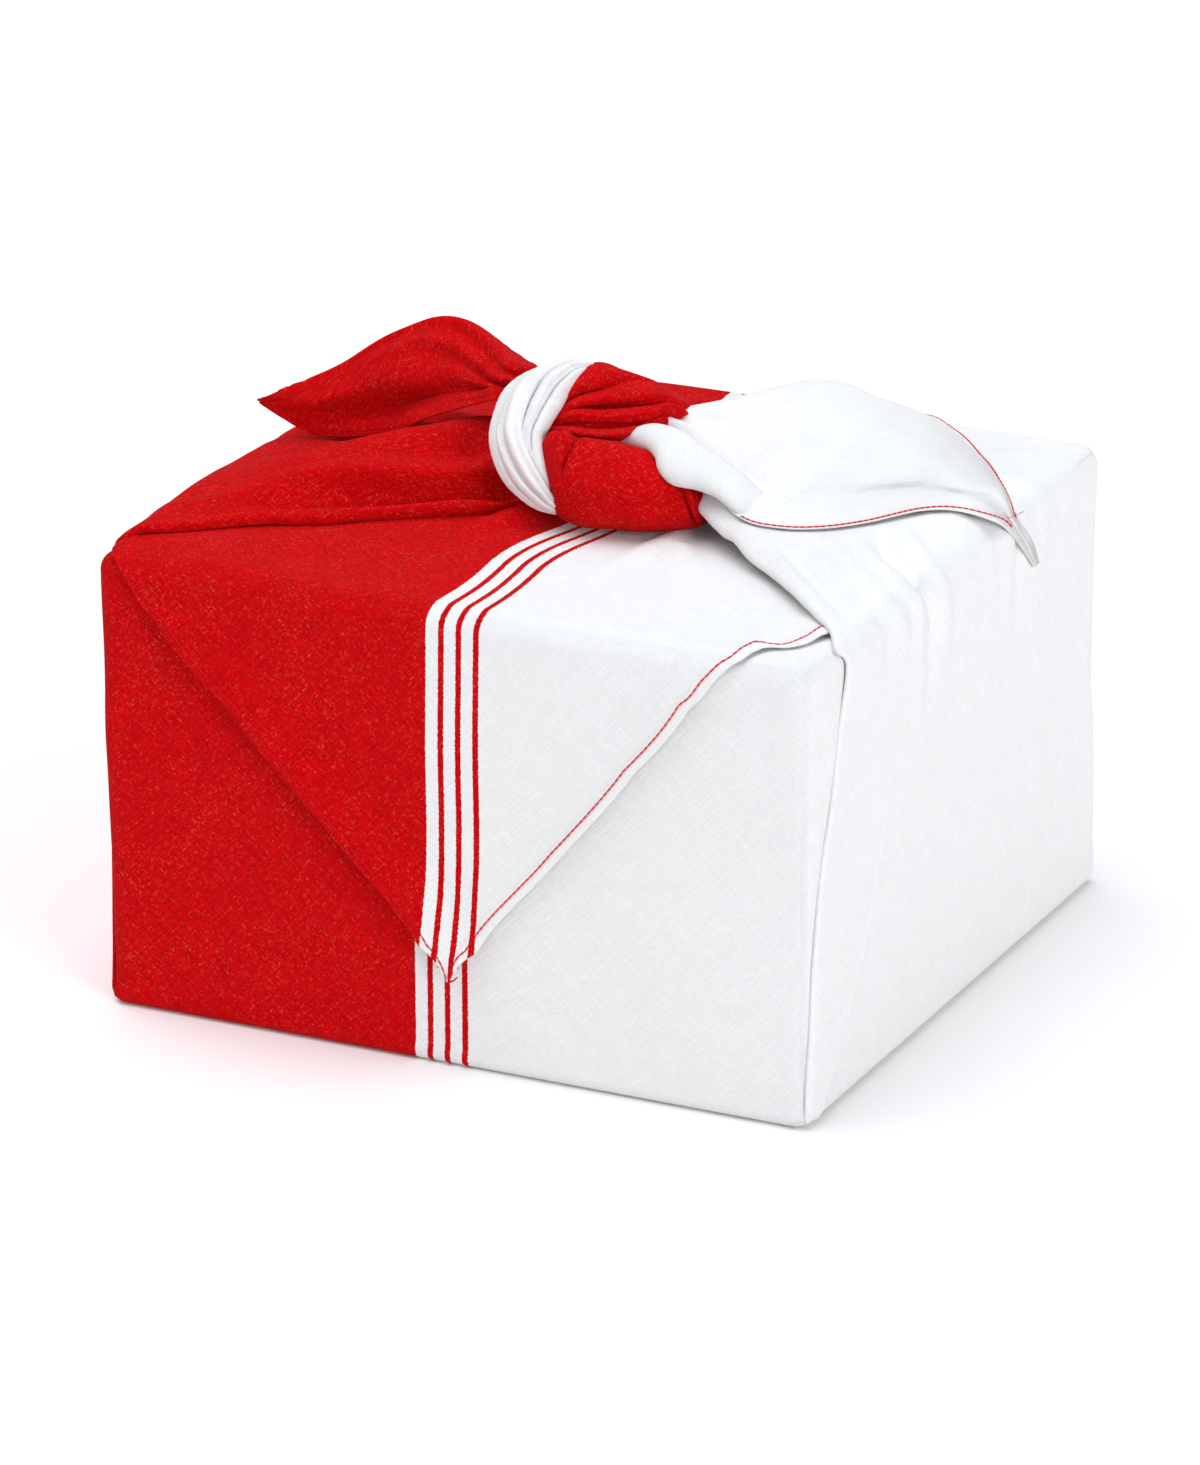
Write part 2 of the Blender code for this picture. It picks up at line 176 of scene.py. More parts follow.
def onParcel(x, y, z, out):
    # the middle of the cloth where a point of the sharp box lies, moved outwards
    soft = math.prod(map(smooth, (x, y, z), parcel["softStart"], parcel["softFull"]))
    foot = parcel["footEdge"] + (1 - parcel["footEdge"]) * smooth(z, 0, parcel["footHigh"])
    radius = edge * foot + parcel["softEdge"] * soft
    core = Vector(
        (
            min(max(x, radius - halfW), halfW - radius),
            min(max(y, radius - halfD), halfD - radius),
            min(max(z, radius), high - radius),
        )
    )
    normal = (Vector((x, y, z)) - core).normalized()
    point = core + normal * (radius + out - parcel["cloth"] / 2)
    point.x -= parcel["lean"] * smooth(z, *parcel["leanZ"]) * smooth(-x, *parcel["leanX"])
    return point


def ripple(x, y, z, length, height):
    # the slight unevenness of cloth that isn't pulled tight; on a flat face, z picks its pattern
    return height * noise.noise(Vector((x, y, z)) / length)


def newMaterial(name):
    material = bpy.data.materials.new(name)
    material.use_nodes = True
    tree = material.node_tree
    return material, tree, tree.nodes["Principled BSDF"]


def addNode(tree, kind, **settings):
    node = tree.nodes.new(kind)
    for key, value in settings.items():
        setattr(node, key, value)
    return node


def feed(tree, socket, value):
    # the value is a number, a colour or another node's output
    if isinstance(value, (int, float)):
        socket.default_value = value
    elif isinstance(value, tuple):
        socket.default_value = (*value, 1)
    elif value is not None:
        tree.links.new(value, socket)


def mathNode(tree, operation, first, second=None, clamp=False):
    node = addNode(tree, "ShaderNodeMath", operation=operation, use_clamp=clamp)
    feed(tree, node.inputs[0], first)
    feed(tree, node.inputs[1], second)
    return node.outputs[0]


def mixColour(tree, factor, first, second):
    node = addNode(tree, "ShaderNodeMix", data_type="RGBA")
    for index, value in ((0, factor), (6, first), (7, second)):
        feed(tree, node.inputs[index], value)
    return node.outputs[2]


def noiseNode(tree, vector, scale, detail=2.0, roughness=0.5):
    node = addNode(tree, "ShaderNodeTexNoise")
    for name, value in (("Vector", vector), ("Scale", scale), ("Detail", detail), ("Roughness", roughness)):
        feed(tree, node.inputs[name], value)
    return node


def splitNode(tree, vector):
    node = addNode(tree, "ShaderNodeSeparateXYZ")
    feed(tree, node.inputs[0], vector)
    return node


# The weave runs at 45 degrees to the cloth's diagonals, which are its UV axes in metres.
weave = {
    "threadsPerMetre": 1900.0,
    "slubAlong": 75.0,  # slubs per metre along a thread
    "slubAcross": 2200.0,
    "slubContrast": 2.5,
    "fleckAlong": 380.0,
    "fleckAcross": 2900.0,
    "fleckStart": (3.7, 1.9, 5.1),  # keeps the flecks off the slubs
    "fleckFrom": 0.65,
    "fleckGain": 9.0,
    "fleckCloud": 0.12,  # how much a cloud adds to its flecks
    "cloudScale": 40.0,
    "wobble": 0.0005,  # metres by which the threads wander
    "wobbleScale": 90.0,
    "threadHeight": 0.3,
    "stitchDepth": 1.5,
    "stitchReach": 0.8,  # millimetres to each side of the stitches
}


def streakNoise(group, vector, kind, along, across):
    # uneven threads of one direction, as slubs or as flecks
    stretch = addNode(group, "ShaderNodeMapping")
    scale = [0.0, 0.0, 1.0]
    scale[along] = weave[kind + "Along"]
    scale[across] = weave[kind + "Across"]
    stretch.inputs["Scale"].default_value = scale
    stretch.inputs["Location"].default_value = weave["fleckStart"] if kind == "fleck" else (0, 0, 0)
    feed(group, stretch.inputs["Vector"], vector)
    return noiseNode(group, stretch.outputs[0], 1.0, 1.0, 0.6).outputs["Fac"]


def makeWeaveGroup():
    group = bpy.data.node_groups.new("linenWeave", "ShaderNodeTree")
    face = group.interface
    face.new_socket("UV", in_out="INPUT", socket_type="NodeSocketVector")
    face.new_socket("FromEdge", in_out="INPUT", socket_type="NodeSocketFloat")
    results = ("Height", "Slub", "Fleck", "Cloud", "Hem")
    for name in results:
        face.new_socket(name, in_out="OUTPUT", socket_type="NodeSocketFloat")
    enter = addNode(group, "NodeGroupInput")
    leave = addNode(group, "NodeGroupOutput")
    calc = partial(mathNode, group)
    turn = addNode(group, "ShaderNodeMapping")
    turn.inputs["Rotation"].default_value = (0, 0, math.radians(45))
    feed(group, turn.inputs["Vector"], enter.outputs["UV"])
    wander = noiseNode(group, turn.outputs[0], weave["wobbleScale"])
    shift = addNode(group, "ShaderNodeVectorMath", operation="MULTIPLY_ADD")
    shift.inputs[1].default_value = (weave["wobble"], weave["wobble"], 0.0)
    feed(group, shift.inputs[0], wander.outputs["Color"])
    feed(group, shift.inputs[2], turn.outputs[0])
    apart = splitNode(group, shift.outputs[0])
    turns = 2 * math.pi * weave["threadsPerMetre"]
    warp, weft = (calc("SINE", calc("MULTIPLY", apart.outputs[axis], turns)) for axis in (0, 1))
    threads = calc("MULTIPLY", warp, weft)
    streaks = [streakNoise(group, shift.outputs[0], "slub", *axes) for axes in ((0, 1), (1, 0))]
    flecks = [streakNoise(group, shift.outputs[0], "fleck", *axes) for axes in ((0, 1), (1, 0))]
    uneven = calc("MULTIPLY", calc("SUBTRACT", calc("ADD", *streaks), 1.0), weave["slubContrast"])
    slub = calc("ADD", uneven, 0.5, clamp=True)
    cloud = noiseNode(group, turn.outputs[0], weave["cloudScale"], 4.0).outputs["Fac"]
    more = calc("MULTIPLY", calc("SUBTRACT", cloud, 0.5), weave["fleckCloud"])
    above = calc("ADD", calc("SUBTRACT", calc("MAXIMUM", *flecks), weave["fleckFrom"]), more)
    fleck = calc("MULTIPLY", above, weave["fleckGain"], clamp=True)
    # the hem is drawn in along its stitches
    fromEdge = enter.outputs["FromEdge"]
    hemMask = calc("LESS_THAN", fromEdge, hem["width"])
    fromStitch = calc("ABSOLUTE", calc("SUBTRACT", fromEdge, hem["stitchIn"]))
    drawnIn = calc("SUBTRACT", 1.0, calc("DIVIDE", fromStitch, weave["stitchReach"]), clamp=True)
    height = calc("ADD", slub, calc("MULTIPLY", threads, weave["threadHeight"]))
    height = calc("SUBTRACT", height, calc("MULTIPLY", drawnIn, weave["stitchDepth"]))
    for name, value in zip(results, (height, slub, fleck, cloud, hemMask)):
        feed(group, leave.inputs[name], value)
    return group


linen = {
    "red": (0.69, 0.0015, 0.0045),
    "redDeep": (0.46, 0.0004, 0.0015),
    "redFleck": (0.85, 0.12, 0.06),
    "redFleckShare": 0.75,
    "redSpecular": 0.05,
    "redSheen": 0.012,
    "white": (0.897, 0.882, 0.866),
    "whiteDeep": (0.846, 0.832, 0.817),
    "whiteFleck": (0.91, 0.896, 0.88),
    "whiteFleckShare": 0.5,
    "whiteSpecular": 0.15,
    "whiteSheen": 0.05,
    "whiteHem": (0.905, 0.883, 0.858),
    "whiteHemShare": 0.6,
    "thread": (0.74, 0.004, 0.013),  # the sewing thread
    "cloudShare": 0.2,  # how deep the red gets in its clouds
    "ragged": 0.0003,  # metres by which a change of colour is uneven
    "roughness": 0.9,
    "sheenRoughness": 0.45,
    "bumpDepth": 0.00013,
}


def makeTone(tree, threads, tone):
    body = mixColour(tree, threads.outputs["Slub"], linen[tone + "Deep"], linen[tone])
    if tone == "red":
        layers = (("Cloud", "cloudShare", "redDeep"), ("Fleck", "redFleckShare", "redFleck"))
    else:
        layers = (("Hem", "whiteHemShare", "whiteHem"), ("Fleck", "whiteFleckShare", "whiteFleck"))
    for mask, share, colour in layers:
        shown = mathNode(tree, "MULTIPLY", threads.outputs[mask], linen[share])
        body = mixColour(tree, shown, body, linen[colour])
    return body


def makeLinen(name, group, colours):
    # colours is "red", "white" or "both", which is the cloth with its stripes
    material, tree, shader = newMaterial(name)
    uv = addNode(tree, "ShaderNodeUVMap", uv_map="cloth")
    fromEdge = addNode(tree, "ShaderNodeAttribute", attribute_name="fromEdge")
    threads = addNode(tree, "ShaderNodeGroup", node_tree=group)
    feed(tree, threads.inputs["UV"], uv.outputs[0])
    feed(tree, threads.inputs["FromEdge"], fromEdge.outputs["Fac"])
    if colours == "both":
        apart = splitNode(tree, uv.outputs[0])
        middle = mathNode(tree, "SUBTRACT", threads.outputs["Slub"], 0.5)
        ragged = mathNode(tree, "MULTIPLY", middle, linen["ragged"])
        place = mathNode(tree, "ADD", apart.outputs[0], ragged)
        white = None
        for index, change in enumerate(stripes["changes"]):
            past = mathNode(tree, "GREATER_THAN", place, change * toMetres)
            step = past if index % 2 == 0 else mathNode(tree, "MULTIPLY", past, -1.0)
            white = step if white is None else mathNode(tree, "ADD", white, step)
        colour = mixColour(tree, white, makeTone(tree, threads, "red"), makeTone(tree, threads, "white"))
    else:
        colour = makeTone(tree, threads, colours)
    relief = addNode(tree, "ShaderNodeBump")
    feed(tree, relief.inputs["Strength"], 1.0)
    feed(tree, relief.inputs["Distance"], linen["bumpDepth"])
    feed(tree, relief.inputs["Height"], threads.outputs["Height"])
    tone = "white" if colours == "white" else "red"
    settings = {
        "Base Color": colour,
        "Normal": relief.outputs[0],
        "Roughness": linen["roughness"],
        "Specular IOR Level": linen[tone + "Specular"],
        "Sheen Weight": linen[tone + "Sheen"],
        "Sheen Roughness": linen["sheenRoughness"],
    }
    for socket, value in settings.items():
        feed(tree, shader.inputs[socket], value)
    return material


def makePlain(name, colour, roughness, deep):
    # one colour with a fine grain, whose darkest is the deep share of it
    grainScale, specular = 2500.0, 0.06
    material, tree, shader = newMaterial(name)
    coordinates = addNode(tree, "ShaderNodeTexCoord")
    grain = noiseNode(tree, coordinates.outputs["Object"], grainScale)
    darker = tuple(deep * each for each in colour)
    feed(tree, shader.inputs["Base Color"], mixColour(tree, grain.outputs["Fac"], darker, colour))
    feed(tree, shader.inputs["Roughness"], roughness)
    feed(tree, shader.inputs["Specular IOR Level"], specular)
    return material


def gridSheet(rowStations, columnStations, place, keep=None):
    # a sheet whose points, cloth coordinates and distances from an edge come from place(row, column)
    rows, columns = len(rowStations) - 1, len(columnStations) - 1
    mesh = bmesh.new()
    bmesh.ops.create_grid(mesh, x_segments=columns, y_segments=rows, size=0.5)
    if keep:
        dropped = []
        for face in mesh.faces:
            middle = face.calc_center_median()
            row = math.floor((middle.y + 0.5) * rows)
            column = math.floor((middle.x + 0.5) * columns)
            if not keep(rowStations[row : row + 2], columnStations[column : column + 2]):
                dropped.append(face)
        bmesh.ops.delete(mesh, geom=dropped, context="FACES")
    uvLayer = mesh.loops.layers.uv.new("cloth")
    edgeLayer = mesh.verts.layers.float.new("fromEdge")
    spots = {}
    for point in mesh.verts:
        row = rowStations[round((point.co.y + 0.5) * rows)]
        column = columnStations[round((point.co.x + 0.5) * columns)]
        point.co, spots[point], point[edgeLayer] = place(row, column)
    for face in mesh.faces:
        for corner in face.loops:
            corner[uvLayer].uv = [each * toMetres for each in spots[corner.vert]]
    return mesh


def addObject(name, data):
    made = bpy.data.objects.new(name, data)
    bpy.context.scene.collection.objects.link(made)
    return made


def finishPiece(name, mesh, material, thickness=None):
    samePlace = 0.02
    bmesh.ops.remove_doubles(mesh, verts=mesh.verts, dist=samePlace)
    bmesh.ops.recalc_face_normals(mesh, faces=mesh.faces)
    bmesh.ops.scale(mesh, vec=(toMetres, toMetres, toMetres), verts=mesh.verts)
    data = bpy.data.meshes.new(name)
    mesh.to_mesh(data)
    mesh.free()
    data.materials.append(material)
    data.shade_smooth()
    print(f"  {name}, {sum(face.area for face in data.polygons):.4f} square metres")
    piece = addObject(name, data)
    if thickness:
        wall = piece.modifiers.new("thickness", "SOLIDIFY")
        wall.thickness = thickness * toMetres
        wall.offset = 0
        wall.use_even_offset = False
    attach(piece, "root")
    return piece


print("materials")
weaveGroup = makeWeaveGroup()
stripedLinen = makeLinen("stripedLinen", weaveGroup, "both")
redLinen = makeLinen("redLinen", weaveGroup, "red")
whiteLinen = makeLinen("whiteLinen", weaveGroup, "white")
redThread = makePlain("redThread", linen["thread"], roughness=0.6, deep=0.7)

# The pointed flap, by the way from the parcel's top front edge: down to its tip or back over the top.
flap = {
    "edges": (  # way, left, right
        (-137.5, 2.0, 2.0), (-125.0, -10.4, 11.8), (-84.0, -50.0, 43.8), (-47.5, -85.3, 72.6),
        (-20.0, -112.0, 93.3), (-10.0, -121.0, 101.5), (-2.0, -128.0, 108.0), (4.0, -131.0, 111.3),
        (10.0, -132.5, 113.2), (14.0, -133.5, 114.8), (16.0, -134.0, 119.0), (18.0, -134.5, 122.8),
        (22.0, -135.0, 125.2), (27.0, -135.5, 127.0), (32.0, -136.0, 128.6), (38.0, -136.5, 130.0),
        (60.0, -137.5, 135.0), (100.0, -141.5, 141.5),
    ),
    "hemEnds": (24.0, 62.0),  # the way at which the left and right hems go under the gathers
    "edgeLift": (3.4, 1.4),  # how far the left and right edges stand off the front
    "liftWidth": 30.0,
    "liftWay": (6.0, -30.0),  # from where to where, down the front, they come to do so
    "pullHalf": 60.0,  # how far from the middle the stripes still lie over
    "folds": (  # lines of x, y, height, half width on the top
        ((-33, -72, 0.3, 6), (-28, -57, 2.2, 8), (-21, -42, 4.5, 9), (-13, -30, 6, 9)),
        ((99, -130, 0.3, 8), (105, -123, 0.8, 8), (110, -117, 1.0, 6), (108, -108, 0.8, 6),
         (99, -90, 0.4, 8)),
        ((119, -118, -0.3, 4), (119, -109, -0.5, 5), (114, -97, -0.5, 6)),
        ((129, -104, 0.9, 5), (125, -97, 1.2, 6), (118, -84, 0.8, 7)),
        ((30, -84, 0.2, 7), (34, -62, 1.2, 7), (39, -35, 2.4, 8), (42, -18, 3, 8)),
        ((-118, -110, 1.0, 16), (-80, -96, 1.4, 14), (-40, -74, 0.6, 12)),
        ((62, -74, 0.4, 9), (54, -58, 1.4, 9), (46, -42, 2.4, 9)),
    ),
}

# How the front and the back lie on the parcel, by the way up a face and over the top.
panels = {
    "marginFull": 36.0,  # where the strips round the upright edges reach their whole width
    "edgeStrip": 30.0,  # width over which a layer changes its height beside an upright edge
    "riseFrom": 45.0,  # how far under the top the inner layer starts to rise
    "sunkTo": 90.0,  # how far over the top the front has sunk under the back
    "sunkHalf": 123.0,  # half its width there
    "level": (120.0, 50.0),  # how far over the top the back's edges leave the inner layer's depth
    "own": (60.0, 100.0, 140.0),  # how far over the top its own ripples end and the common ones start
    "ownRipple": (3.0, 38.0, 0.8),  # a number that picks the pattern, the ripples' length and height
    "ripple": (20.0, 45.0, 1.0),
    "rippleFoot": (4.0, 30.0),  # the ways between which the ripples start
    "evenStrip": 40.0,  # beside the upright edges, where there are none on the top
    "tightTop": 16.0,  # and how near the top edge the back has none there
    "steps": (3.0, 6.0, 2.2),  # stations up a face, over the front's hidden part and over the back
}


def wayPoint(way):
    # distance from the middle and height, up a face, over the top and down the other face
    if way < 0:
        return halfD + way, 0.0
    if way <= high:
        return halfD, way
    if way <= far:
        return halfD - (way - high), high
    return -halfD, high + far - way


def hemColumns(steps):
    left = [("left", offset) for offset in hem["offsets"]]
    right = [("right", offset) for offset in reversed(hem["offsets"])]
    return left + [("share", index / steps) for index in range(1, steps)] + right


def acrossPlace(column, left, right, slant=math.sqrt(2)):
    # the place across and the distance from the cloth's edge
    kind, value = column
    bothHems = 2.2 * hem["offsets"][-1]  # with a little cloth between them
    squeeze = min(1.0, (right - left) / (bothHems * slant))
    if kind == "left":
        return left + value * slant * squeeze, value
    if kind == "right":
        return right - value * slant * squeeze, value
    inset = hem["offsets"][-1] * slant * squeeze
    return left + inset + (right - left - 2 * inset) * value, hem["none"]


def nearEdge(wide, strip):
    # rises from 0 to 1 over a strip beside the upright edges
    return smooth(abs(wide), halfW - strip, halfW)


def layerDepth(way):
    # how deep the inner layer lies at the upright edges
    rising = smooth(way, high - panels["riseFrom"], high - edge)
    return inner * smooth(way, 0, edge) * (1 - parcel["rising"] * rising)


def marginPoint(side, way, wide):
    # a point of what lies past an upright edge, on the parcel's side
    reach = (abs(wide) - halfW) * smooth(way, -edge, panels["marginFull"])
    out, height = wayPoint(way)
    return onParcel(math.copysign(halfW, wide), side * (out - reach), height, -layerDepth(way))


def atFoot(wide, way):
    # below the upright edges, what would turn round them is drawn in under the parcel
    flat = halfW - edge
    if way >= edge:
        return wide
    return math.copysign(min(abs(wide), flat + (abs(wide) - flat) * smooth(way, -edge, edge)), wide)


def unevenness(wide, way):
    # the front and the flap over it have the same, so that neither cuts through the other
    strip = smooth(abs(wide), halfW - panels["evenStrip"], halfW - edge)
    flatten = strip * smooth(way, high - panels["edgeStrip"], high)
    return ripple(wide, way, *panels["ripple"]) * smooth(way, *panels["rippleFoot"]) * (1 - flatten)


def frontPlace(way, column):
    kind, value = column
    spot = (value - stripes["frontShift"], -halfD - way)
    if kind == "margin":
        return marginPoint(-1, way, value), spot, hem["none"]
    out, height = wayPoint(way)
    sunk = smooth(way - high, parcel["corner"][-1], panels["sunkTo"])
    half = min(halfW + (panels["sunkHalf"] - halfW) * sunk, far + parcel["drop"] - way)
    value = atFoot(value, way)
    wide = value if half >= halfW else value / halfW * half
    depth = inner * smooth(way, 0, edge)
    risen = (depth - layerDepth(way)) * nearEdge(wide, panels["edgeStrip"]) * (1 - sunk)
    depth = depth * (1 + sunk) - risen
    return onParcel(wide, -out, height, unevenness(wide, way) - depth), spot, hem["none"]


def backLift(wide, way, edges):
    # how far the back and its flap stand off the parcel
    reach = far - way
    level, (ownEnd, change, commonStart) = panels["level"], panels["own"]
    lift = -layerDepth(way) * nearEdge(wide, edge) * smooth(way, high + level[0], high + level[1])
    for away, rise in zip((wide - edges[0], edges[1] - wide), flap["edgeLift"]):
        lift += rise * smooth(away, flap["liftWidth"], 0) * smooth(reach, *flap["liftWay"])
    if way < high + change:
        tight = bump(way, high, panels["tightTop"]) * nearEdge(wide, panels["edgeStrip"])
        own = ripple(wide, reach, *panels["ownRipple"]) * smooth(way, high + change, high + ownEnd)
        return lift + own * smooth(way, edge, panels["rippleFoot"][1]) * (1 - tight)
    return lift + unevenness(wide, high + reach) * smooth(way, high + change, high + commonStart)


def backPlace(way, column):
    kind, value = column
    if kind == "margin":
        return marginPoint(1, way, value), (value, halfD + way), hem["none"]
    out, height = wayPoint(way)
    reach = far - way
    left, right = -halfW, halfW
    if way > high + parcel["corner"][-1]:
        left, right = readTable(flap["edges"], reach)
        left, right = max(left, -halfW), min(right, halfW)
    wide, fromEdge = acrossPlace(column, left, right)
    wide = atFoot(wide, way)
    if reach > flap["hemEnds"][0 if wide < 0 else 1]:
        fromEdge = hem["none"]
    lift = hem["raise"] if fromEdge < hem["width"] else 0.0
    point = onParcel(wide, out, height, lift + backLift(wide, way, (left, right)))
    if high < way < far + edge:
        point.z += foldHeight(flap["folds"], wide, out) * smooth(way, far + edge, far - edge)
    pull = readTable(stripes["over"], reach)[0] * bump(wide, 0, flap["pullHalf"])
    return point, (wide - pull, halfD + way), fromEdge


def makeBase():
    flat, deep = (
        [edge - half, *spaced(edge - half, half - edge, parcel["coarse"]), half - edge]
        for half in (halfW, halfD)
    )

    def basePlace(y, x):
        shift = stripes["frontShift"] * smooth(y, 0, edge - halfD)
        return onParcel(x, y, 0, 0), (x - shift, y), hem["none"]

    mesh = gridSheet(deep, flat, basePlace)
    piece = finishPiece("base_cloth", mesh, stripedLinen, parcel["cloth"])


def marginColumns(sign):
    steps = [halfW + each for each in (*pastEdge(), *parcel["corner"])]
    return [("margin", sign * each) for each in (reversed(steps) if sign < 0 else steps)]


def topWays(step):
    # stations over the top and down the face on the other side
    near = [high + each for each in (*pastEdge(), *parcel["corner"])]
    ways = near + spaced(near[-1], far - edge, step) + [far + each for each in roundEdge()]
    return ways + spaced(far + edge, far + parcel["drop"] - 1, step) + [far + parcel["drop"] - 1]


def faceWays():
    topTurn = [high - each for each in reversed(pastEdge())]
    return [*roundEdge(), *spaced(edge, high - edge, panels["steps"][0]), *topTurn, high]


def keepFace(ways, columns):
    # nothing lies past the upright edges once the cloth has turned over the top
    return max(ways) <= high or all(kind != "margin" for kind, value in columns)


def makeFront():
    flat = halfW - edge
    turns = [each for each in roundEdge() if each <= 0]
    middle = [("flat", each) for each in (-flat, *spaced(-flat, flat, parcel["finest"]), flat)]
    leftTurn = [("flat", -halfW - each) for each in reversed(turns[1:])]
    rightTurn = [("flat", halfW + each) for each in turns[1:]]
    columns = marginColumns(-1) + leftTurn + middle + rightTurn + marginColumns(1)
    mesh = gridSheet(faceWays() + topWays(panels["steps"][1]), columns, frontPlace, keepFace)
    piece = finishPiece("front_cloth", mesh, stripedLinen, parcel["cloth"])
    return piece


def makeBack():
    columns = marginColumns(-1) + hemColumns(108) + marginColumns(1)
    mesh = gridSheet(faceWays() + topWays(panels["steps"][2]), columns, backPlace, keepFace)
    piece = finishPiece("back_cloth", mesh, stripedLinen, parcel["cloth"])


print("base, front and back")
makeBase()
frontCloth = makeFront()
makeBack()
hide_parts("wrap_cloth")

# The sides: up each face between two folded edges, then gathered over the top to the knot.
sides = {
    "foldRadius": 0.65,  # of the folded edges on the faces
    "underTurn": 9.0,  # how far the cloth goes on under itself
    "liftStart": 45.0,  # how far under the top the sides start to stand off it
    "turn": (-2.0, 10.0),  # how far past the top edge the face's folds give way to those on the top
    "fuller": 0.9,  # how much more cloth there is across, once it is gathered
    "fullAt": 100.0,
    "patterns": {1: 50.0, -1: 30.0},  # the numbers that pick the right and the left side's ripples
    "ripple": (42.0, 1.1),
    "rippleFoot": (8.0, 90.0),
    "underFull": 0.2,  # half widths within which the cloth comes down to the line under the ear
    "steps": 130,  # faces across
    "topStep": 2.0,
    "foldEdge": (  # height, right y, left y
        (-8.0, -123.5, -123.5), (0.0, -129.0, -127.5), (8.0, -129.6, -126.5), (35.0, -127.0, -124.0),
        (67.0, -124.6, -121.0), (97.0, -117.9, -117.0), (118.0, -110.2, -114.0), (135.0, -106.0, -112.0),
        (151.0, -103.2, -111.0), (161.0, -101.8, -111.0), (166.0, -103.0, -112.0), (171.5, -107.0, -114.0),
    ),
}

rightSide = {
    "name": "right_side",
    "side": 1,
    "rollRadius": (1.1, 2.2),  # at the side edge and at the knot
    "sections": (  # distance in from the side edge, front y, back y, front z, crown z, back z
        (0.0, -106.5, 106.0, 173.0, 174.0, 173.0),
        (9.0, -97.0, 104.0, 175.0, 176.0, 175.0),
        (20.0, -87.5, 96.0, 176.3, 179.0, 177.0),
        (36.0, -73.0, 84.0, 177.5, 182.0, 178.5),
        (49.0, -61.0, 68.0, 178.5, 184.0, 179.5),
        (64.0, -49.5, 50.0, 180.2, 185.5, 180.0),
        (80.0, -37.0, 28.0, 182.6, 187.0, 182.0),
        (93.0, -27.0, 8.0, 185.5, 190.0, 184.0),
        (107.0, -18.0, -2.0, 187.0, 191.0, 186.0),
    ),
    "folds": (  # lines of x, y, height, half width
        ((136, -102, 0.3, 4), (127, -92, 1.0, 5), (112, -78, 2, 6.5), (89, -54, 2.6, 8), (72, -40, 3.2, 9),
         (53, -25, 4, 9)),
        ((130, -86, -0.6, 5), (110, -68, -2.2, 7), (88, -44, -3.2, 8), (74, -27, -3.2, 8),
         (58, -12, -2, 8)),
        ((138, -63, 0.8, 7), (132, -61, 1.6, 8), (116, -51, 3.0, 9), (94, -32, 3, 9)),
        ((139, -36, -2.4, 4), (134, -37, -3.6, 4.5), (124, -32, -4.2, 5), (106, -14, -3.4, 6),
         (97, -7, -1, 8)),
        ((138, -46, 1.2, 5), (132, -48, 2.2, 6), (121, -43, 2.8, 7), (103, -25, 2.4, 8)),
        ((139, -24, 1.6, 6), (126, -19, 3.2, 8), (110, -2, 2.4, 9)),
        ((138, 2, -0.8, 6), (120, 6, -1.2, 8), (100, 10, -1, 9)),
        ((138, 34, 1.0, 8), (120, 30, 2.0, 10), (95, 22, 2.4, 10)),
        ((138, 52, -1.4, 6), (118, 44, -1.8, 8), (92, 32, -1.8, 8)),
        ((138, 72, 1.0, 9), (118, 60, 2.0, 10), (88, 42, 2.4, 9)),
    ),
    "under": (  # the line of x, y, height, half width that it comes to under the ear's front edge
        (74, -41, 184.6, 11), (80, -42, 184.3, 12), (87, -40, 183.7, 13), (96, -34, 183.1, 13),
        (103, -27, 182.5, 13), (109, -17, 181.8, 13), (116, -4, 181.2, 13), (122, 6, 180.7, 13),
        (127, 12, 179.8, 12), (133, 17, 177.7, 9),
    ),
    "overhang": (),
    "faceFolds": (  # lines of height, y, depth, half width
        ((176, -37, -3.0, 4), (167, -34, -3.2, 4), (155, -28, -2.6, 4.5), (144, -29, -1.6, 6),
         (120, -31, 0, 8)),
        ((176, -47, 2.0, 6), (160, -43, 1.8, 7), (140, -40, 0.9, 9), (116, -40, 0, 10)),
        ((176, -64, 1.6, 7), (160, -57, 1.2, 8), (140, -53, 0, 10)),
        ((176, -74, -1.0, 6), (160, -70, -0.8, 7), (144, -66, 0, 8)),
        ((176, -24, 1.8, 6), (152, -18, 1.4, 8), (124, -18, 0, 10)),
        ((174, 34, 1.2, 8), (150, 36, 0.8, 9), (120, 40, 0, 11)),
        ((172, 47, -1.8, 6), (150, 45, -1.4, 7), (118, 49, 0, 9)),
        ((174, 70, 1.0, 9), (148, 66, 0.7, 11), (116, 64, 0, 12)),
        ((2, -122, 0.9, 3), (44, -88, 0.8, 3), (94, -66, 0.5, 3), (112, -60, 0, 3)),
    ),
}

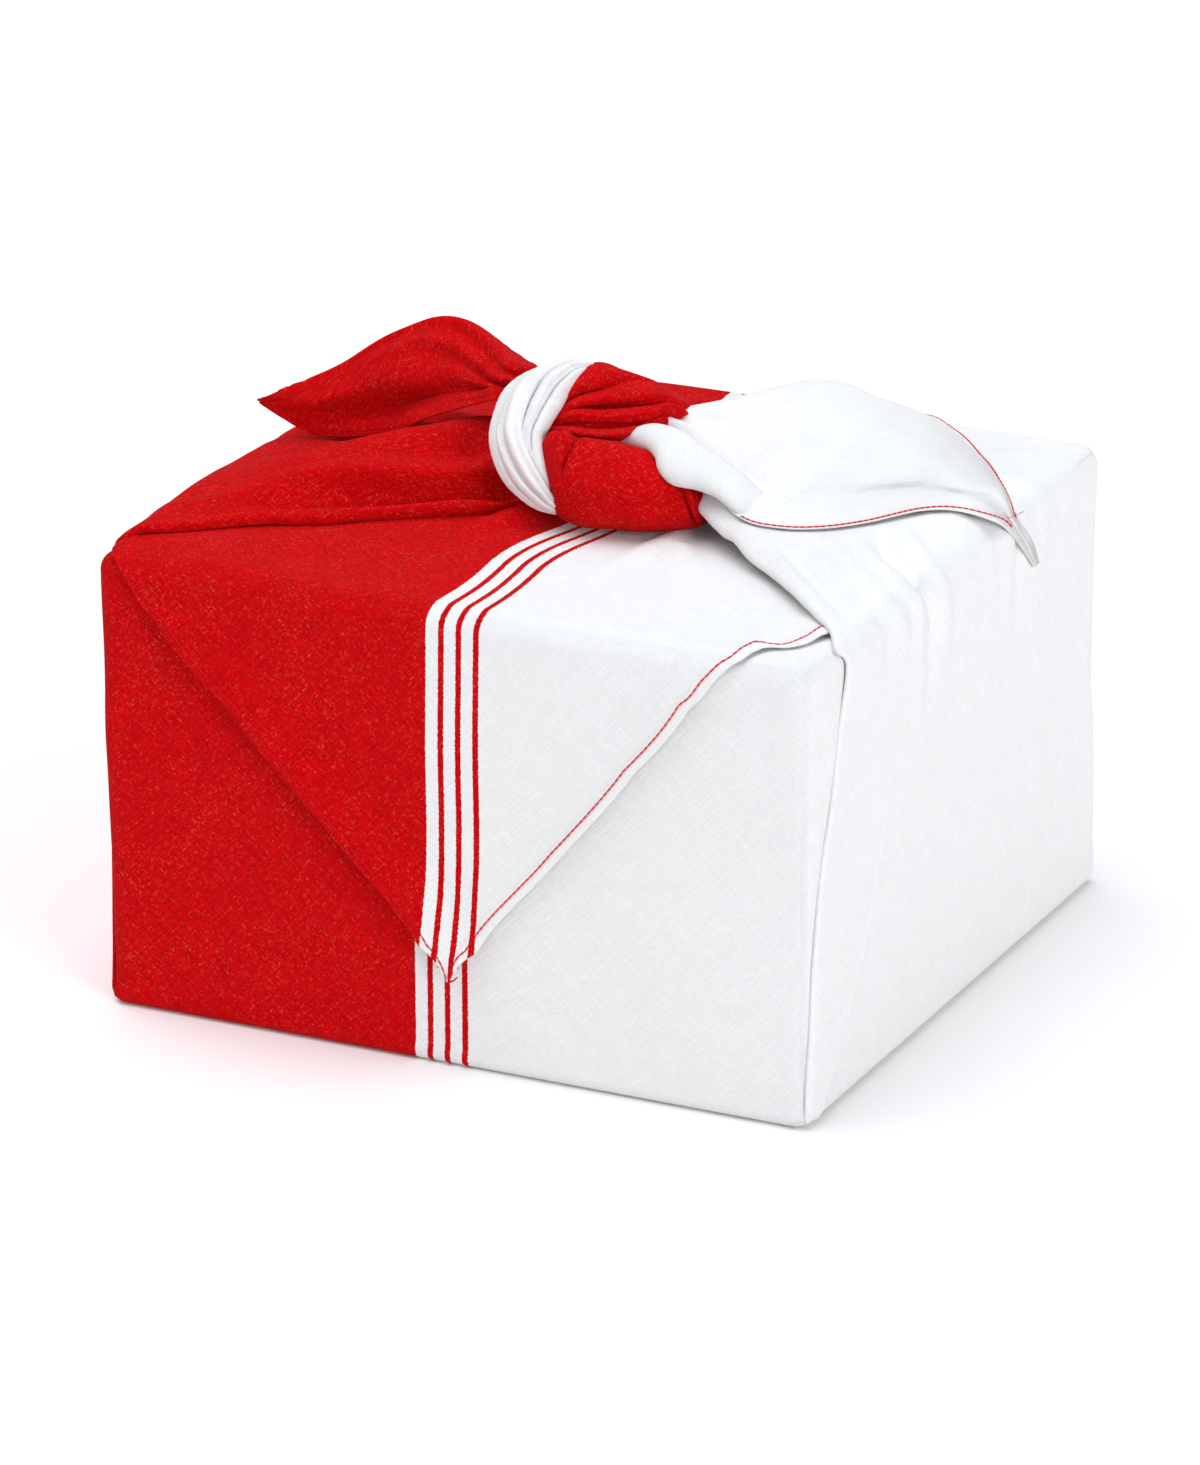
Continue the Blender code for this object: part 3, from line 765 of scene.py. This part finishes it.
leftSide = {
    "name": "left_side",
    "side": -1,
    "rollRadius": (1.5, 3.0),
    "sections": (
        (0.0, -114.5, 106.0, 173.4, 174.5, 173.0),
        (9.0, -110.0, 104.0, 176.0, 176.5, 174.5),
        (21.5, -101.5, 95.0, 176.3, 178.0, 175.5),
        (33.0, -90.5, 88.0, 176.6, 178.5, 176.0),
        (43.5, -82.5, 78.0, 176.8, 178.5, 176.5),
        (59.5, -74.0, 62.0, 177.0, 180.0, 177.5),
        (71.7, -63.0, 50.0, 177.2, 181.0, 179.0),
        (84.5, -54.0, 37.0, 177.5, 182.5, 181.0),
        (98.0, -45.5, 22.0, 177.8, 185.0, 183.0),
        (110.0, -35.5, 8.0, 178.2, 188.0, 185.0),
        (121.0, -28.0, -4.0, 179.0, 190.0, 188.0),
    ),
    "folds": (
        ((-104, -80, -1.8, 5), (-92, -73, -3.6, 5), (-80, -64.5, -5.6, 5), (-64, -54, -7.5, 5.5),
         (-51, -45.5, -8.5, 5.5), (-38, -37, -8.5, 5.5), (-26, -28.5, -8.5, 5.5)),
        ((-128, -66, 1, 30), (-107, -60, 6.5, 30), (-97, -50, 9.5, 30), (-85, -38, 12, 27),
         (-68, -26, 14.5, 22), (-47, -12, 15, 18), (-28, -12, 14, 15)),
        ((-118, -84, 0.8, 8), (-96, -63, 2.5, 7), (-82, -53, 4.5, 7), (-66, -43, 5.5, 7),
         (-50, -34, 5.0, 7), (-36, -27, 4.0, 7)),
        ((-104, -36, -2, 7), (-92, -22, -4, 8), (-76, -6, -5.5, 9), (-56, 4, -5, 9)),
        ((-138, -90, 0.5, 8), (-124, -88, 0.8, 9), (-108, -80, 0.4, 9)),
        ((-138, 22, 1.0, 10), (-110, 20, 2.0, 14), (-80, 14, 2.5, 12), (-50, 4, 3, 10)),
        ((-128, -4, -0.6, 9), (-112, 0, -1.2, 10), (-85, 2, -2, 10)),
        ((-138, 60, 1, 10), (-122, 58, 1.6, 12), (-95, 46, 2.4, 12), (-60, 22, 2, 10)),
        ((-138, 42, -0.8, 8), (-112, 38, -1.6, 9), (-78, 26, -1.8, 8)),
    ),
    "under": (),
    "overhang": (  # the line of x, y, how far forwards, half width of the crest over the front roll
        (-96, -63, 1.5, 7), (-82, -53, 4.0, 7), (-66, -43, 6.0, 7.5), (-50, -34, 6.0, 7.5),
        (-36, -27, 4.0, 7),
    ),
    "faceFolds": (
        ((174, -88, 0.6, 8), (150, -84, 0.4, 10), (124, -80, 0, 12)),
        ((174, -30, 1.0, 10), (146, -30, 0.8, 12), (112, -28, 0, 14)),
        ((174, 22, 1.0, 9), (150, 24, 0.8, 11), (118, 26, 0, 13)),
        ((174, 42, -1.0, 7), (154, 42, -0.8, 8), (128, 44, 0, 10)),
        ((174, 62, 1.0, 9), (146, 64, 0.7, 11), (112, 66, 0, 13)),
        ((2, -122, 0.5, 3), (46, -88, 0.4, 3), (96, -66, 0.3, 3), (112, -60, 0, 3)),
    ),
}


def turnedEdge(radius):
    # columns round a folded edge: distance in from the edge, depth below the outer side, length of cloth
    half, underTurn = math.pi * radius, sides["underTurn"]
    columns = [(radius + on, 2 * radius, half + on) for on in (underTurn, underTurn / 2)]
    for angle in (180, 150, 120, 90, 60, 30):
        bend = math.radians(angle)
        columns.append((radius * (1 - math.sin(bend)), radius * (1 - math.cos(bend)), radius * bend))
    return columns


def sideColumns():
    # (share across, place in the turned edge or None)
    count, steps = len(turnedEdge(1.0)), sides["steps"]
    front = [(0.0, index) for index in range(count)]
    back = [(1.0, index) for index in reversed(range(count))]
    return front + [(step / steps, None) for step in range(steps + 1)] + back


def sidePlace(cloth, way, column):
    share, turned = column
    side = cloth["side"]
    inward = max(way - high, 0.0)
    if way > high:
        front, back, frontZ, crownZ, backZ = readTable(cloth["sections"], inward)
    else:
        right, left = readTable(sides["foldEdge"], way)
        front = left if side < 0 else right
        back = -front
        frontZ, crownZ, backZ = cloth["sections"][0][3:]
    thin, thick = cloth["rollRadius"]
    roll = thin + (thick - thin) * inward / cloth["sections"][-1][0]
    radius = sides["foldRadius"]
    radius += (roll - radius) * smooth(way, high - edge, high + edge)
    inset, depth, turnedLength = radius, 0.0, 0.0
    if turned is not None:
        inset, depth, turnedLength = turnedEdge(radius)[turned]
    y = front + inset + (back - front - 2 * inset) * share
    fuller = 1 + sides["fuller"] * smooth(way, high, high + sides["fullAt"])
    flatY = (front + radius + (back - front - 2 * radius) * share) * fuller
    spot = (side * (halfW + way), flatY + turnedLength * (1 if share > 0.5 else -1))
    if way < 0:
        return onParcel(side * (halfW + way), y, 0, -depth), spot, hem["none"]
    turnFrom, turnTo = (high + each for each in sides["turn"])
    out = inner * smooth(way, high - sides["liftStart"], high - edge) - depth
    out += ripple(way, y, sides["patterns"][side], *sides["ripple"]) * smooth(way, *sides["rippleFoot"])
    if way < turnTo:
        out += foldHeight(cloth["faceFolds"], way, y) * smooth(way, turnTo, turnFrom)
    x = side * (halfW - inward)
    point = onParcel(x, y, min(way, high), out)
    if way > turnFrom:
        onTop = smooth(way, turnFrom, turnTo)
        crown = crownZ - (frontZ + backZ) / 2
        rise = frontZ + (backZ - frontZ) * share + crown * math.sin(math.pi * share)
        rise += foldHeight(cloth["folds"], x, y) - high - inner
        away, level = besideLine(cloth["under"], x, y)
        rise += (level - point.z - depth - rise) * smooth(away, 1, sides["underFull"])
        point.z += rise * onTop
        away, forwards = besideLine(cloth["overhang"], x, y)
        point.y -= forwards * bump(away, 0, 1) * onTop
    return point, spot, hem["none"]


def makeSide(cloth, material):
    last = cloth["sections"][-1][0]
    ways = [*roundEdge(), *spaced(edge, high - edge, panels["steps"][0])]
    ways += [high + step for step in roundEdge()]
    ways += spaced(high + edge, high + last, sides["topStep"]) + [high + last]
    mesh = gridSheet(ways, sideColumns(), lambda way, column: sidePlace(cloth, way, column))
    piece = finishPiece(cloth["name"], mesh, material, parcel["cloth"])


print("sides and gathers")
makeSide(rightSide, whiteLinen)
makeSide(leftSide, redLinen)

# The loose ends and the fan of the knot: rows of control points from the knot outwards, from front to back.
rightEar = {
    "name": "right_ear",
    "net": (
        ((24, -12, 197), (25, -9, 203), (24, -6, 206), (22, 2, 206), (17, 8, 202)),
        ((40, -19, 192), (40, -12, 199), (40, -2, 201), (37, 12, 208.2), (28, 26, 199)),
        ((54, -28, 188), (54, -18, 194), (55, 0, 199.5), (52, 30, 210.6), (38, 48, 194)),
        ((71.5, -41, 185.5), (73, -29, 191.8), (72, 0, 200.5), (64, 46, 210), (48, 70, 188)),
        ((84.6, -41, 185), (82, -29, 191.5), (86, 4, 200), (76, 58, 202.5), (60, 92, 183)),
        ((98.2, -32, 184), (91, -22, 191.5), (98, 13, 195.8), (86, 66, 194.5), (78, 104.5, 180.5)),
        ((108.4, -17, 183), (100, -10, 190), (109, 19, 190.5), (97, 66, 187), (91, 97, 179.5)),
        ((119.4, 4, 182), (113, 10, 187), (117.5, 28, 186.5), (110, 57, 184), (104, 85.5, 179.3)),
        ((129, 14, 180.5), (123, 21, 184), (126, 31, 183), (122, 50, 181), (117.5, 68, 179)),
        ((138, 22, 176), (132.5, 26, 180.5), (134, 36, 180), (132, 46, 179), (129.5, 52, 178)),
        ((139.8, 33.5, 168), (140, 35, 169.5), (139.8, 37, 171), (139.5, 38.5, 172), (139, 40, 172.5)),
        ((140, 46, 158), (140.2, 47.5, 158.5), (140.3, 49, 159), (140.2, 51, 159.5), (140, 53, 160)),
        ((140, 57, 147.5), (140.1, 58, 147.6), (140.2, 59, 147.7), (140.1, 60, 147.8), (140, 61, 148)),
    ),
    "folds": (  # share across at the knot, at the tip, height, half width, first and last share along
        (0.29, 0.35, -3.0, 0.10, 0.0, 0.45),
        (0.46, 0.45, 1.4, 0.10, 0.0, 0.5),
        (0.60, 0.52, -1.2, 0.08, 0.0, 0.5),
    ),
    "hems": (0.24, 0.30),  # how far along the front and the back hem start
    "stitchEnd": 0.83,
    "steps": (100, 76),
}

leftEar = {
    "name": "left_ear",
    "net": (
        ((-24, -20, 206), (-24, -18, 207), (-25, -14, 208), (-25, -13, 209), (-24, -12, 211),
         (-24, -8, 214), (-23, -4, 216), (-20, 6, 212)),
        ((-35, -20, 208), (-36, -18, 209), (-37, -14, 209), (-37, -13, 210), (-36, -13, 212),
         (-36, -10, 216), (-34, -6, 218), (-28, 6, 212)),
        ((-43, -17, 205), (-45, -14, 206), (-47, -9, 205), (-47, -9, 208), (-47, -6, 212), (-47, 0, 217),
         (-46, 4, 220), (-40, 16, 212)),
        ((-55, -14, 200), (-57, -10, 201), (-60, -4, 202), (-60, -5, 207), (-64, 2, 216), (-62, 9, 220.6),
         (-62, 13, 223.6), (-54, 28, 210)),
        ((-69, -10, 193), (-71, -6, 195), (-77, 2, 196), (-76, -2, 203), (-78, 6, 215.3), (-77, 12, 220),
         (-76, 16, 222), (-69, 32, 204)),
        ((-85, -6, 185), (-86, -3, 188), (-91, 3, 190), (-91, -1, 201), (-92.6, 5, 209), (-93, 11, 212.6),
         (-93, 15, 214.6), (-87, 30, 199)),
        ((-103, -5, 180), (-103, -3, 183), (-105, 1, 188), (-104, -2, 195), (-106.6, 2, 199.5),
         (-108.6, 5, 202), (-109.6, 8, 203), (-105, 20, 194)),
        ((-117, -7, 180), (-117, -6, 183), (-118, -5, 187), (-117, -7, 192), (-119, -5, 194),
         (-120, -3, 196), (-121, -1, 197), (-118, 6, 192)),
        ((-126, -10, 185), (-126, -10, 187), (-126, -10, 189), (-127, -11, 191), (-127, -11, 193),
         (-128, -11, 194), (-128, -10, 195), (-127, -6, 193)),
        ((-133, -13, 190), (-133, -13, 190.5), (-134, -13, 191), (-134, -13, 191.3), (-134, -13, 191.6),
         (-135, -13, 192), (-134, -12, 192), (-134, -12, 191.5)),
    ),
    "folds": (
        (0.12, 0.14, 1.6, 0.05, 0.0, 0.5),
        (0.24, 0.26, -2.0, 0.10, 0.0, 0.75),
        (0.40, 0.36, 1.8, 0.07, 0.0, 0.6),
        (0.49, 0.44, -1.8, 0.05, 0.0, 0.65),
        (0.56, 0.50, 1.6, 0.05, 0.0, 0.6),
        (0.63, 0.55, -2.4, 0.05, 0.0, 0.85),
        (0.71, 0.64, 1.4, 0.06, 0.0, 0.6),
    ),
    "hems": (0.50, 0.20),
    "stitchEnd": 0.97,
    "steps": (84, 90),
}

fan = {
    "name": "red_fan",
    "net": (
        ((-11, -30, 203.5), (-10.5, -30, 204.5), (-11, -27, 205), (-11, -27, 206), (-11.5, -25, 206.5),
         (-11, -25, 207.5), (-11.5, -23, 208), (-11, -23, 210), (-11.5, -20, 212), (-12, -12, 210),
         (-12, -4, 200)),
        ((-2.5, -31, 203), (0, -33, 206), (-2, -25, 206), (-0.5, -27, 210), (-4, -21, 210),
         (-2, -23, 213.5), (-5, -18, 213.5), (-5.5, -20, 216), (-8.5, -15, 217), (-9, -4, 214),
         (-8, 4, 200)),
        ((6.5, -30, 203), (10, -32, 206), (7.5, -22, 206), (9.5, -24, 210), (5.5, -16, 210.5),
         (7, -18, 215), (3, -12, 216), (-1, -15, 220), (-5, -9, 221.5), (-5, 2, 217), (-3, 12, 200)),
        ((16, -25, 202), (18.5, -27, 206), (21, -17, 207.5), (22, -18, 211), (18.5, -10, 211.5),
         (17.5, -11, 216), (10, -5, 218), (3.5, -7, 221.5), (-3, -2, 221), (-2, 9, 216), (2, 18, 198)),
        ((21.5, -17, 201), (23, -17, 206), (24.5, -11, 209), (26, -8, 211), (25.5, -3, 211.5),
         (23, -1, 213.5), (16, 3, 215.5), (10, 3, 217), (1, 7, 216.5), (3, 16, 211), (8, 24, 194)),
        ((24, -8, 198), (26.5, -6, 202), (28, -3, 205), (29.5, 0, 206), (29, 4, 206), (27, 7, 208),
         (20, 11, 210), (15, 12, 211), (7, 15, 210), (8, 22, 205), (12, 30, 190)),
    ),
    "folds": (  # troughs and ridges from the pinch to the outer edge
        (0.19, 0.19, -1.6, 0.035, 0.0, 1.5),
        (0.255, 0.255, 0.6, 0.02, 0.0, 1.6),
        (0.285, 0.285, -1.2, 0.018, 0.0, 1.6),
        (0.34, 0.34, 0.8, 0.03, 0.0, 1.6),
        (0.395, 0.395, -1.8, 0.025, 0.0, 1.6),
        (0.47, 0.47, 0.8, 0.04, 0.0, 1.5),
        (0.60, 0.60, -1.6, 0.03, 0.0, 1.4),
    ),
    "hems": (2.0, 2.0),
    "steps": (64, 190),
}


def netPlace(piece, along, column):
    net = piece["net"]
    width = piece["widths"](along)
    across, fromEdge = acrossPlace(column, 0.0, width, 1.0)
    share = across / width
    if along < piece["hems"][0 if share < 0.5 else 1]:
        fromEdge = hem["none"]
    point = netPoint(net, along, share)
    near = 0.02  # shares to each side between which the slope is taken
    ahead = netPoint(net, min(along + near, 1), share) - netPoint(net, max(along - near, 0), share)
    sideways = netPoint(net, along, min(share + near, 1)) - netPoint(net, along, max(share - near, 0))
    normal = ahead.cross(sideways).normalized()
    depth = hem["raise"] if fromEdge < hem["width"] else 0.0
    for atKnot, atTip, height, half, first, last in piece["folds"]:
        middle = atKnot + (atTip - atKnot) * along
        depth += height * bump(share, middle, half) * smooth(along, last, first)
    rippleLength, rippleHeight, calmFrom = 22.0, 1.0, 0.8
    depth += ripple(*point, rippleLength, rippleHeight) * smooth(along, 1.0, calmFrom)
    return point + normal * depth, tuple(netValue(piece["lengths"], along, share)), fromEdge


def addLengths(piece):
    # the lengths of cloth along and across to each control point, from the first row and the middle column
    net = piece["net"]
    count = len(net[0])
    along, widths, piece["lengths"] = [0.0] * count, [], []
    for before, row in zip((net[0], *net), net):
        along = [done + math.dist(start, end) for done, start, end in zip(along, before, row)]
        across = [0.0]
        for start, end in zip(row, row[1:]):
            across.append(across[-1] + math.dist(start, end))
        widths.append(across[-1:])
        piece["lengths"].append([(along[each], across[each] - across[count // 2]) for each in range(count)])
    # how wide the sheet is at a share of the way along it
    narrowest = 0.5
    piece["widths"] = lambda share: max(sectionAt(widths, share * (len(net) - 1))[0], narrowest)


def makeNet(piece, material):
    addLengths(piece)
    rows, columns = piece["steps"]
    stations = [index / rows for index in range(rows + 1)]
    mesh = gridSheet(stations, hemColumns(columns), lambda along, column: netPlace(piece, along, column))
    made = finishPiece(piece["name"], mesh, material, parcel["cloth"])


print("ears")
makeNet(rightEar, whiteLinen)
makeNet(leftEar, redLinen)
makeNet(fan, redLinen)

# The strands of the knot: two edges and the half thickness of each section.
strands = {
    "white_band": {
        "sections": (
            ((2, 4, 213), (5, 2, 208), 2.0), ((-9, -7, 222), (-3.5, -11, 218.5), 3.0),
            ((-18, -16, 221.5), (-6.5, -19, 216), 4.5), ((-25.5, -21, 217.5), (-7.5, -25, 212), 5.0),
            ((-30, -26, 211), (-8.5, -32, 207.5), 5.5), ((-31, -31, 201), (-9, -38, 203), 6.0),
            ((-27.5, -36, 192), (-5.5, -43, 195), 5.5), ((-20, -40, 185), (-2, -45, 188), 4.5),
            ((-9.5, -42, 181.5), (1, -44, 183), 3.5), ((4, -37, 178), (9, -39, 180), 2.0),
        ),
        "pleats": (  # place round the strand at its start and end in degrees, height, half width
            (205, 122, -1.3, 7), (196, 104, 0.8, 9), (186, 78, -2.0, 9), (205, 25, -1.9, 10),
            (178, 8, 1.1, 12), (160, -40, -3.2, 12), (80, -10, -2.4, 8), (112, -4, 1.0, 11),
        ),
        "dents": (),
        "tone": "white",
        "flat": (0.05, 0.085),
    },
    "red_bulb": {
        "sections": (
            ((-8.5, -38.5, 201), (-4.5, -42, 184), 1.5), ((-5, -36, 206), (0, -42, 177), 8.0),
            ((3, -33, 204), (8, -41, 174.5), 12.5), ((13, -30, 203), (18, -38, 174), 14.5),
            ((24, -27, 201), (28, -36, 174), 14.0), ((34, -24, 197), (38, -32, 174.5), 11.0),
            ((43, -22, 190), (46, -28, 176), 7.5), ((50, -22, 185), (52, -25, 179), 3.0),
        ),
        "pleats": ((205, 200, 0.8, 20), (300, 285, -0.6, 16)),
        "dents": (  # along at the top, at the bottom, where round it starts and ends, height, half length
            (0.28, 0.20, 196, 262, -3.2, 0.032),
            (0.235, 0.16, 190, 300, 1.4, 0.05),
            (0.34, 0.26, 196, 262, 0.8, 0.05),
            (0.70, 0.86, 190, 330, -2.4, 0.028),
            (0.75, 0.90, 190, 330, 1.2, 0.03),
            (0.52, 0.50, 300, 350, -0.7, 0.05),
        ),
        "tone": "red",
        "flat": (0.08, 0.065),
    },
    "white_strand": {
        "sections": (
            ((15.5, -24, 201.8), (15, -22, 202.5), 1.0), ((22.6, -26, 201), (18.7, -20, 204.5), 3.0),
            ((30.5, -30, 201.4), (27, -19, 207.5), 4.5), ((36.3, -36, 198), (37, -19, 206), 5.0),
            ((42.3, -38, 195), (45.6, -20, 202), 5.2), ((50.2, -36, 194), (53.5, -20, 198), 5.0),
            ((58.4, -36, 192), (60.8, -21, 194.5), 4.2), ((66.5, -38, 188), (67.4, -23, 191.5), 3.0),
            ((72.5, -38, 186.4), (75, -25, 189.5), 1.8), ((80.5, -37, 185.5), (83, -27, 187.5), 0.8),
        ),
        "pleats": ((300, 290, 0.9, 18), (250, 255, -0.7, 14)),
        "dents": ((0.27, 0.24, 180, 340, -1.4, 0.028),),
        "tone": "white",
        "flat": (0.036, 0.10),
    },
}

# What the strands have in common.
winding = {
    "drawnIn": 1.25,  # the threads lie this much closer
    "near": 0.2,  # rows to each side between which the direction is taken
    "dentEnds": (20.0, 12.0),  # degrees outside and inside a dent's ends over which it fades
    "fullThick": 4.0,  # half thickness from which the pleats and dents are whole
    "ripple": (14.0, 0.5),
    "steps": (84, 120),
}


def strandPlace(strand, along, turn):
    rows = [[*first, *second, thick] for first, second, thick in strand["sections"]]
    last = len(rows) - 1
    section = sectionAt(rows, along * last)
    first, second, thick = Vector(section[:3]), Vector(section[3:6]), section[6]
    ahead, behind = (sectionAt(rows, along * last + step) for step in (winding["near"], -winding["near"]))
    path = Vector(ahead[:3]) + Vector(ahead[3:6]) - Vector(behind[:3]) - Vector(behind[3:6])
    across = (second - first) / 2
    normal = path.cross(across).normalized()
    angle = math.radians(turn)
    swell = 0.0
    for start, end, height, half in strand["pleats"]:
        away = (turn - (start + (end - start) * along) + 180) % 360 - 180
        swell += height * bump(away, 0, half)
    before, within = winding["dentEnds"]
    for top, bottom, start, end, height, half in strand["dents"]:
        share = min(max((turn - start) / (end - start), 0.0), 1.0)
        ends = smooth(turn, start - before, start + within) * smooth(turn, end + before, end - within)
        swell += height * bump(along, top + (bottom - top) * share, half) * ends
    swell *= min(1.0, thick / winding["fullThick"])
    radial = across * math.cos(angle) + normal * thick * math.sin(angle)
    point = (first + second) / 2 + radial + radial.normalized() * swell
    point += radial.normalized() * ripple(*point, *winding["ripple"])
    girth, length = (winding["drawnIn"] * each / toMetres for each in strand["flat"])
    spot = (along * length, turn / 360 * girth)
    return point, spot, hem["none"]


def makeStrand(name, strand):
    rows, columns = winding["steps"]
    stations = [index / rows for index in range(rows + 1)]
    turns = [360 * index / columns for index in range(columns + 1)]
    mesh = gridSheet(stations, turns, lambda along, turn: strandPlace(strand, along, turn))
    piece = finishPiece(name, mesh, redLinen if strand["tone"] == "red" else whiteLinen, parcel["cloth"])


print("knot")
for strandName, strand in strands.items():
    makeStrand(strandName, strand)


def stitchLine(mesh, points, normals, pitch=hem["stitchPitch"]):
    # short raised stitches along a line of points, lying on the cloth
    long, wide, tall = hem["stitch"]
    travelled, target = 0.0, pitch / 2
    for start, end, normal in zip(points, points[1:], normals):
        step = end - start
        while step.length > 0 and travelled + step.length >= target:
            spot = start + step * ((target - travelled) / step.length)
            forward = step.normalized()
            spot += normal * (parcel["cloth"] / 2 + hem["stitchUp"])
            turn = Matrix((forward, normal.cross(forward), normal)).transposed().to_4x4()
            place = Matrix.Translation(spot) @ turn @ Matrix.Diagonal((long, wide, tall, 1))
            bmesh.ops.create_uvsphere(mesh, u_segments=8, v_segments=5, radius=0.5, matrix=place)
            target += pitch
        travelled += step.length


def alongSheet(place, stations, column, inside):
    # points of a sheet along one of its columns, and normals that look away from a point inside
    kind, value = column
    aside = 0.4
    points = [place(station, column)[0] for station in stations]
    beside = [place(station, (kind, value + aside))[0] for station in stations]
    normals = []
    for index, point in enumerate(points):
        ahead = points[min(index + 1, len(points) - 1)] - points[max(index - 1, 0)]
        sideways = beside[index] - point
        sideways -= ahead * (sideways.dot(ahead) / ahead.length_squared)
        normal = ahead.cross(sideways).normalized()
        normals.append(normal if normal.dot(point - inside) > 0 else -normal)
    return points, normals


# Loose ends of the sewing thread, from the flap's tip and from the right ear's tip.
threadEnds = (
    ((2.8, -134.9, 42.1), (5.1, -135.0, 40.3)),
    ((-2.3, -135.0, 39.3), (0.1, -135.2, 39.4), (2.4, -135.2, 39.8)),
    ((1.0, -135.0, 38.6), (0.8, -135.2, 36.5), (2.4, -135.3, 34.9), (3.7, -135.2, 35.4),
     (4.7, -135.0, 36.4)),
    ((140.6, 30.6, 174.4), (141.2, 37.9, 173.2), (141.5, 43.0, 173.0)),
    ((140.8, 27.7, 177.2), (141.0, 31.0, 174.4), (141.2, 34.4, 170.9)),
)


def makeStitches():
    mesh = bmesh.new()
    stitchIn, beforeTip = hem["stitchIn"], far + parcel["drop"] - 2
    for kind, hemEnd in zip(("left", "right"), flap["hemEnds"]):
        ways = [beforeTip - index for index in range(round(parcel["drop"] + hemEnd))]
        stitchLine(mesh, *alongSheet(backPlace, ways, (kind, stitchIn), Vector((0, 0, high / 2))))
    for ear in (rightEar, leftEar):
        steps, end = 120, ear["stitchEnd"]
        inside = netPoint(ear["net"], 0.5, 0.3) - Vector((0, 0, 40))
        for kind, start in zip(("left", "right"), ear["hems"]):
            stations = [start + (end - start) * index / steps for index in range(steps + 1)]
            stitchLine(mesh, *alongSheet(partial(netPlace, ear), stations, (kind, stitchIn), inside))
    fine, outwards, closely = 8, Vector((0.1, -0.9, 0.4)).normalized(), 0.9
    for thread in threadEnds:
        points = [Vector(sectionAt(thread, index / fine)) for index in range(fine * (len(thread) - 1) + 1)]
        stitchLine(mesh, points, [outwards] * len(points), closely)
    finishPiece("hem_stitches", mesh, redThread)


print("stitches")
makeStitches()

studio = {
    "cameraPlace": (1.2979, -2.7404, 1.2369),
    "azimuth": 25.413,
    "elevation": 20.868,
    "lens": 221.2,
    "floor": (0.965, 0.947, 0.928),
    "tint": (0.955, 0.995, 1.05),
    "sky": 0.46,
    "floorHalf": 12.0,
    "sensor": 36.0,
    "clipEnd": 50.0,
    "lights": (  # direction that the light comes from, strength, softness in degrees
        ((-0.28, -0.04, 0.94), 2.15, 60.0),
        ((0.83, -0.46, 0.28), 1.3, 28.0),
    ),
}


def makeStudio():
    floorMesh = bmesh.new()
    bmesh.ops.create_grid(floorMesh, x_segments=1, y_segments=1, size=studio["floorHalf"])
    data = bpy.data.meshes.new("floor")
    floorMesh.to_mesh(data)
    floorMesh.free()
    data.materials.append(makePlain("floorPaint", studio["floor"], roughness=0.8, deep=1.0))
    floor = addObject("floor", data)
    world = bpy.data.worlds.new("studioWorld")
    world.use_nodes = True
    sky = world.node_tree.nodes["Background"]
    feed(world.node_tree, sky.inputs["Color"], studio["tint"])
    feed(world.node_tree, sky.inputs["Strength"], studio["sky"])
    bpy.context.scene.world = world
    for index, (direction, strength, softness) in enumerate(studio["lights"]):
        light = bpy.data.lights.new(f"softLight{index}", "SUN")
        light.energy = strength
        light.color = studio["tint"]
        light.angle = math.radians(softness)
        lamp = addObject(f"softLight{index}", light)
        lamp.rotation_euler = Vector(direction).to_track_quat("Z", "Y").to_euler()
    bpy.context.scene.view_settings.view_transform = "Standard"


def makeCamera():
    azimuth, elevation = math.radians(studio["azimuth"]), math.radians(studio["elevation"])
    level = math.cos(elevation)
    back = Vector((math.sin(azimuth) * level, -math.cos(azimuth) * level, math.sin(elevation)))
    right = Vector((math.cos(azimuth), math.sin(azimuth), 0))
    data = bpy.data.cameras.new("camera")
    data.sensor_fit = "VERTICAL"
    data.sensor_width = data.sensor_height = studio["sensor"]
    data.lens = studio["lens"]
    data.clip_end = studio["clipEnd"]
    camera = addObject("camera", data)
    view = Matrix((right, back.cross(right), back)).transposed().to_4x4()
    camera.matrix_world = Matrix.Translation(studio["cameraPlace"]) @ view
    bpy.context.scene.camera = camera


print("studio and camera")
makeStudio()
makeCamera()
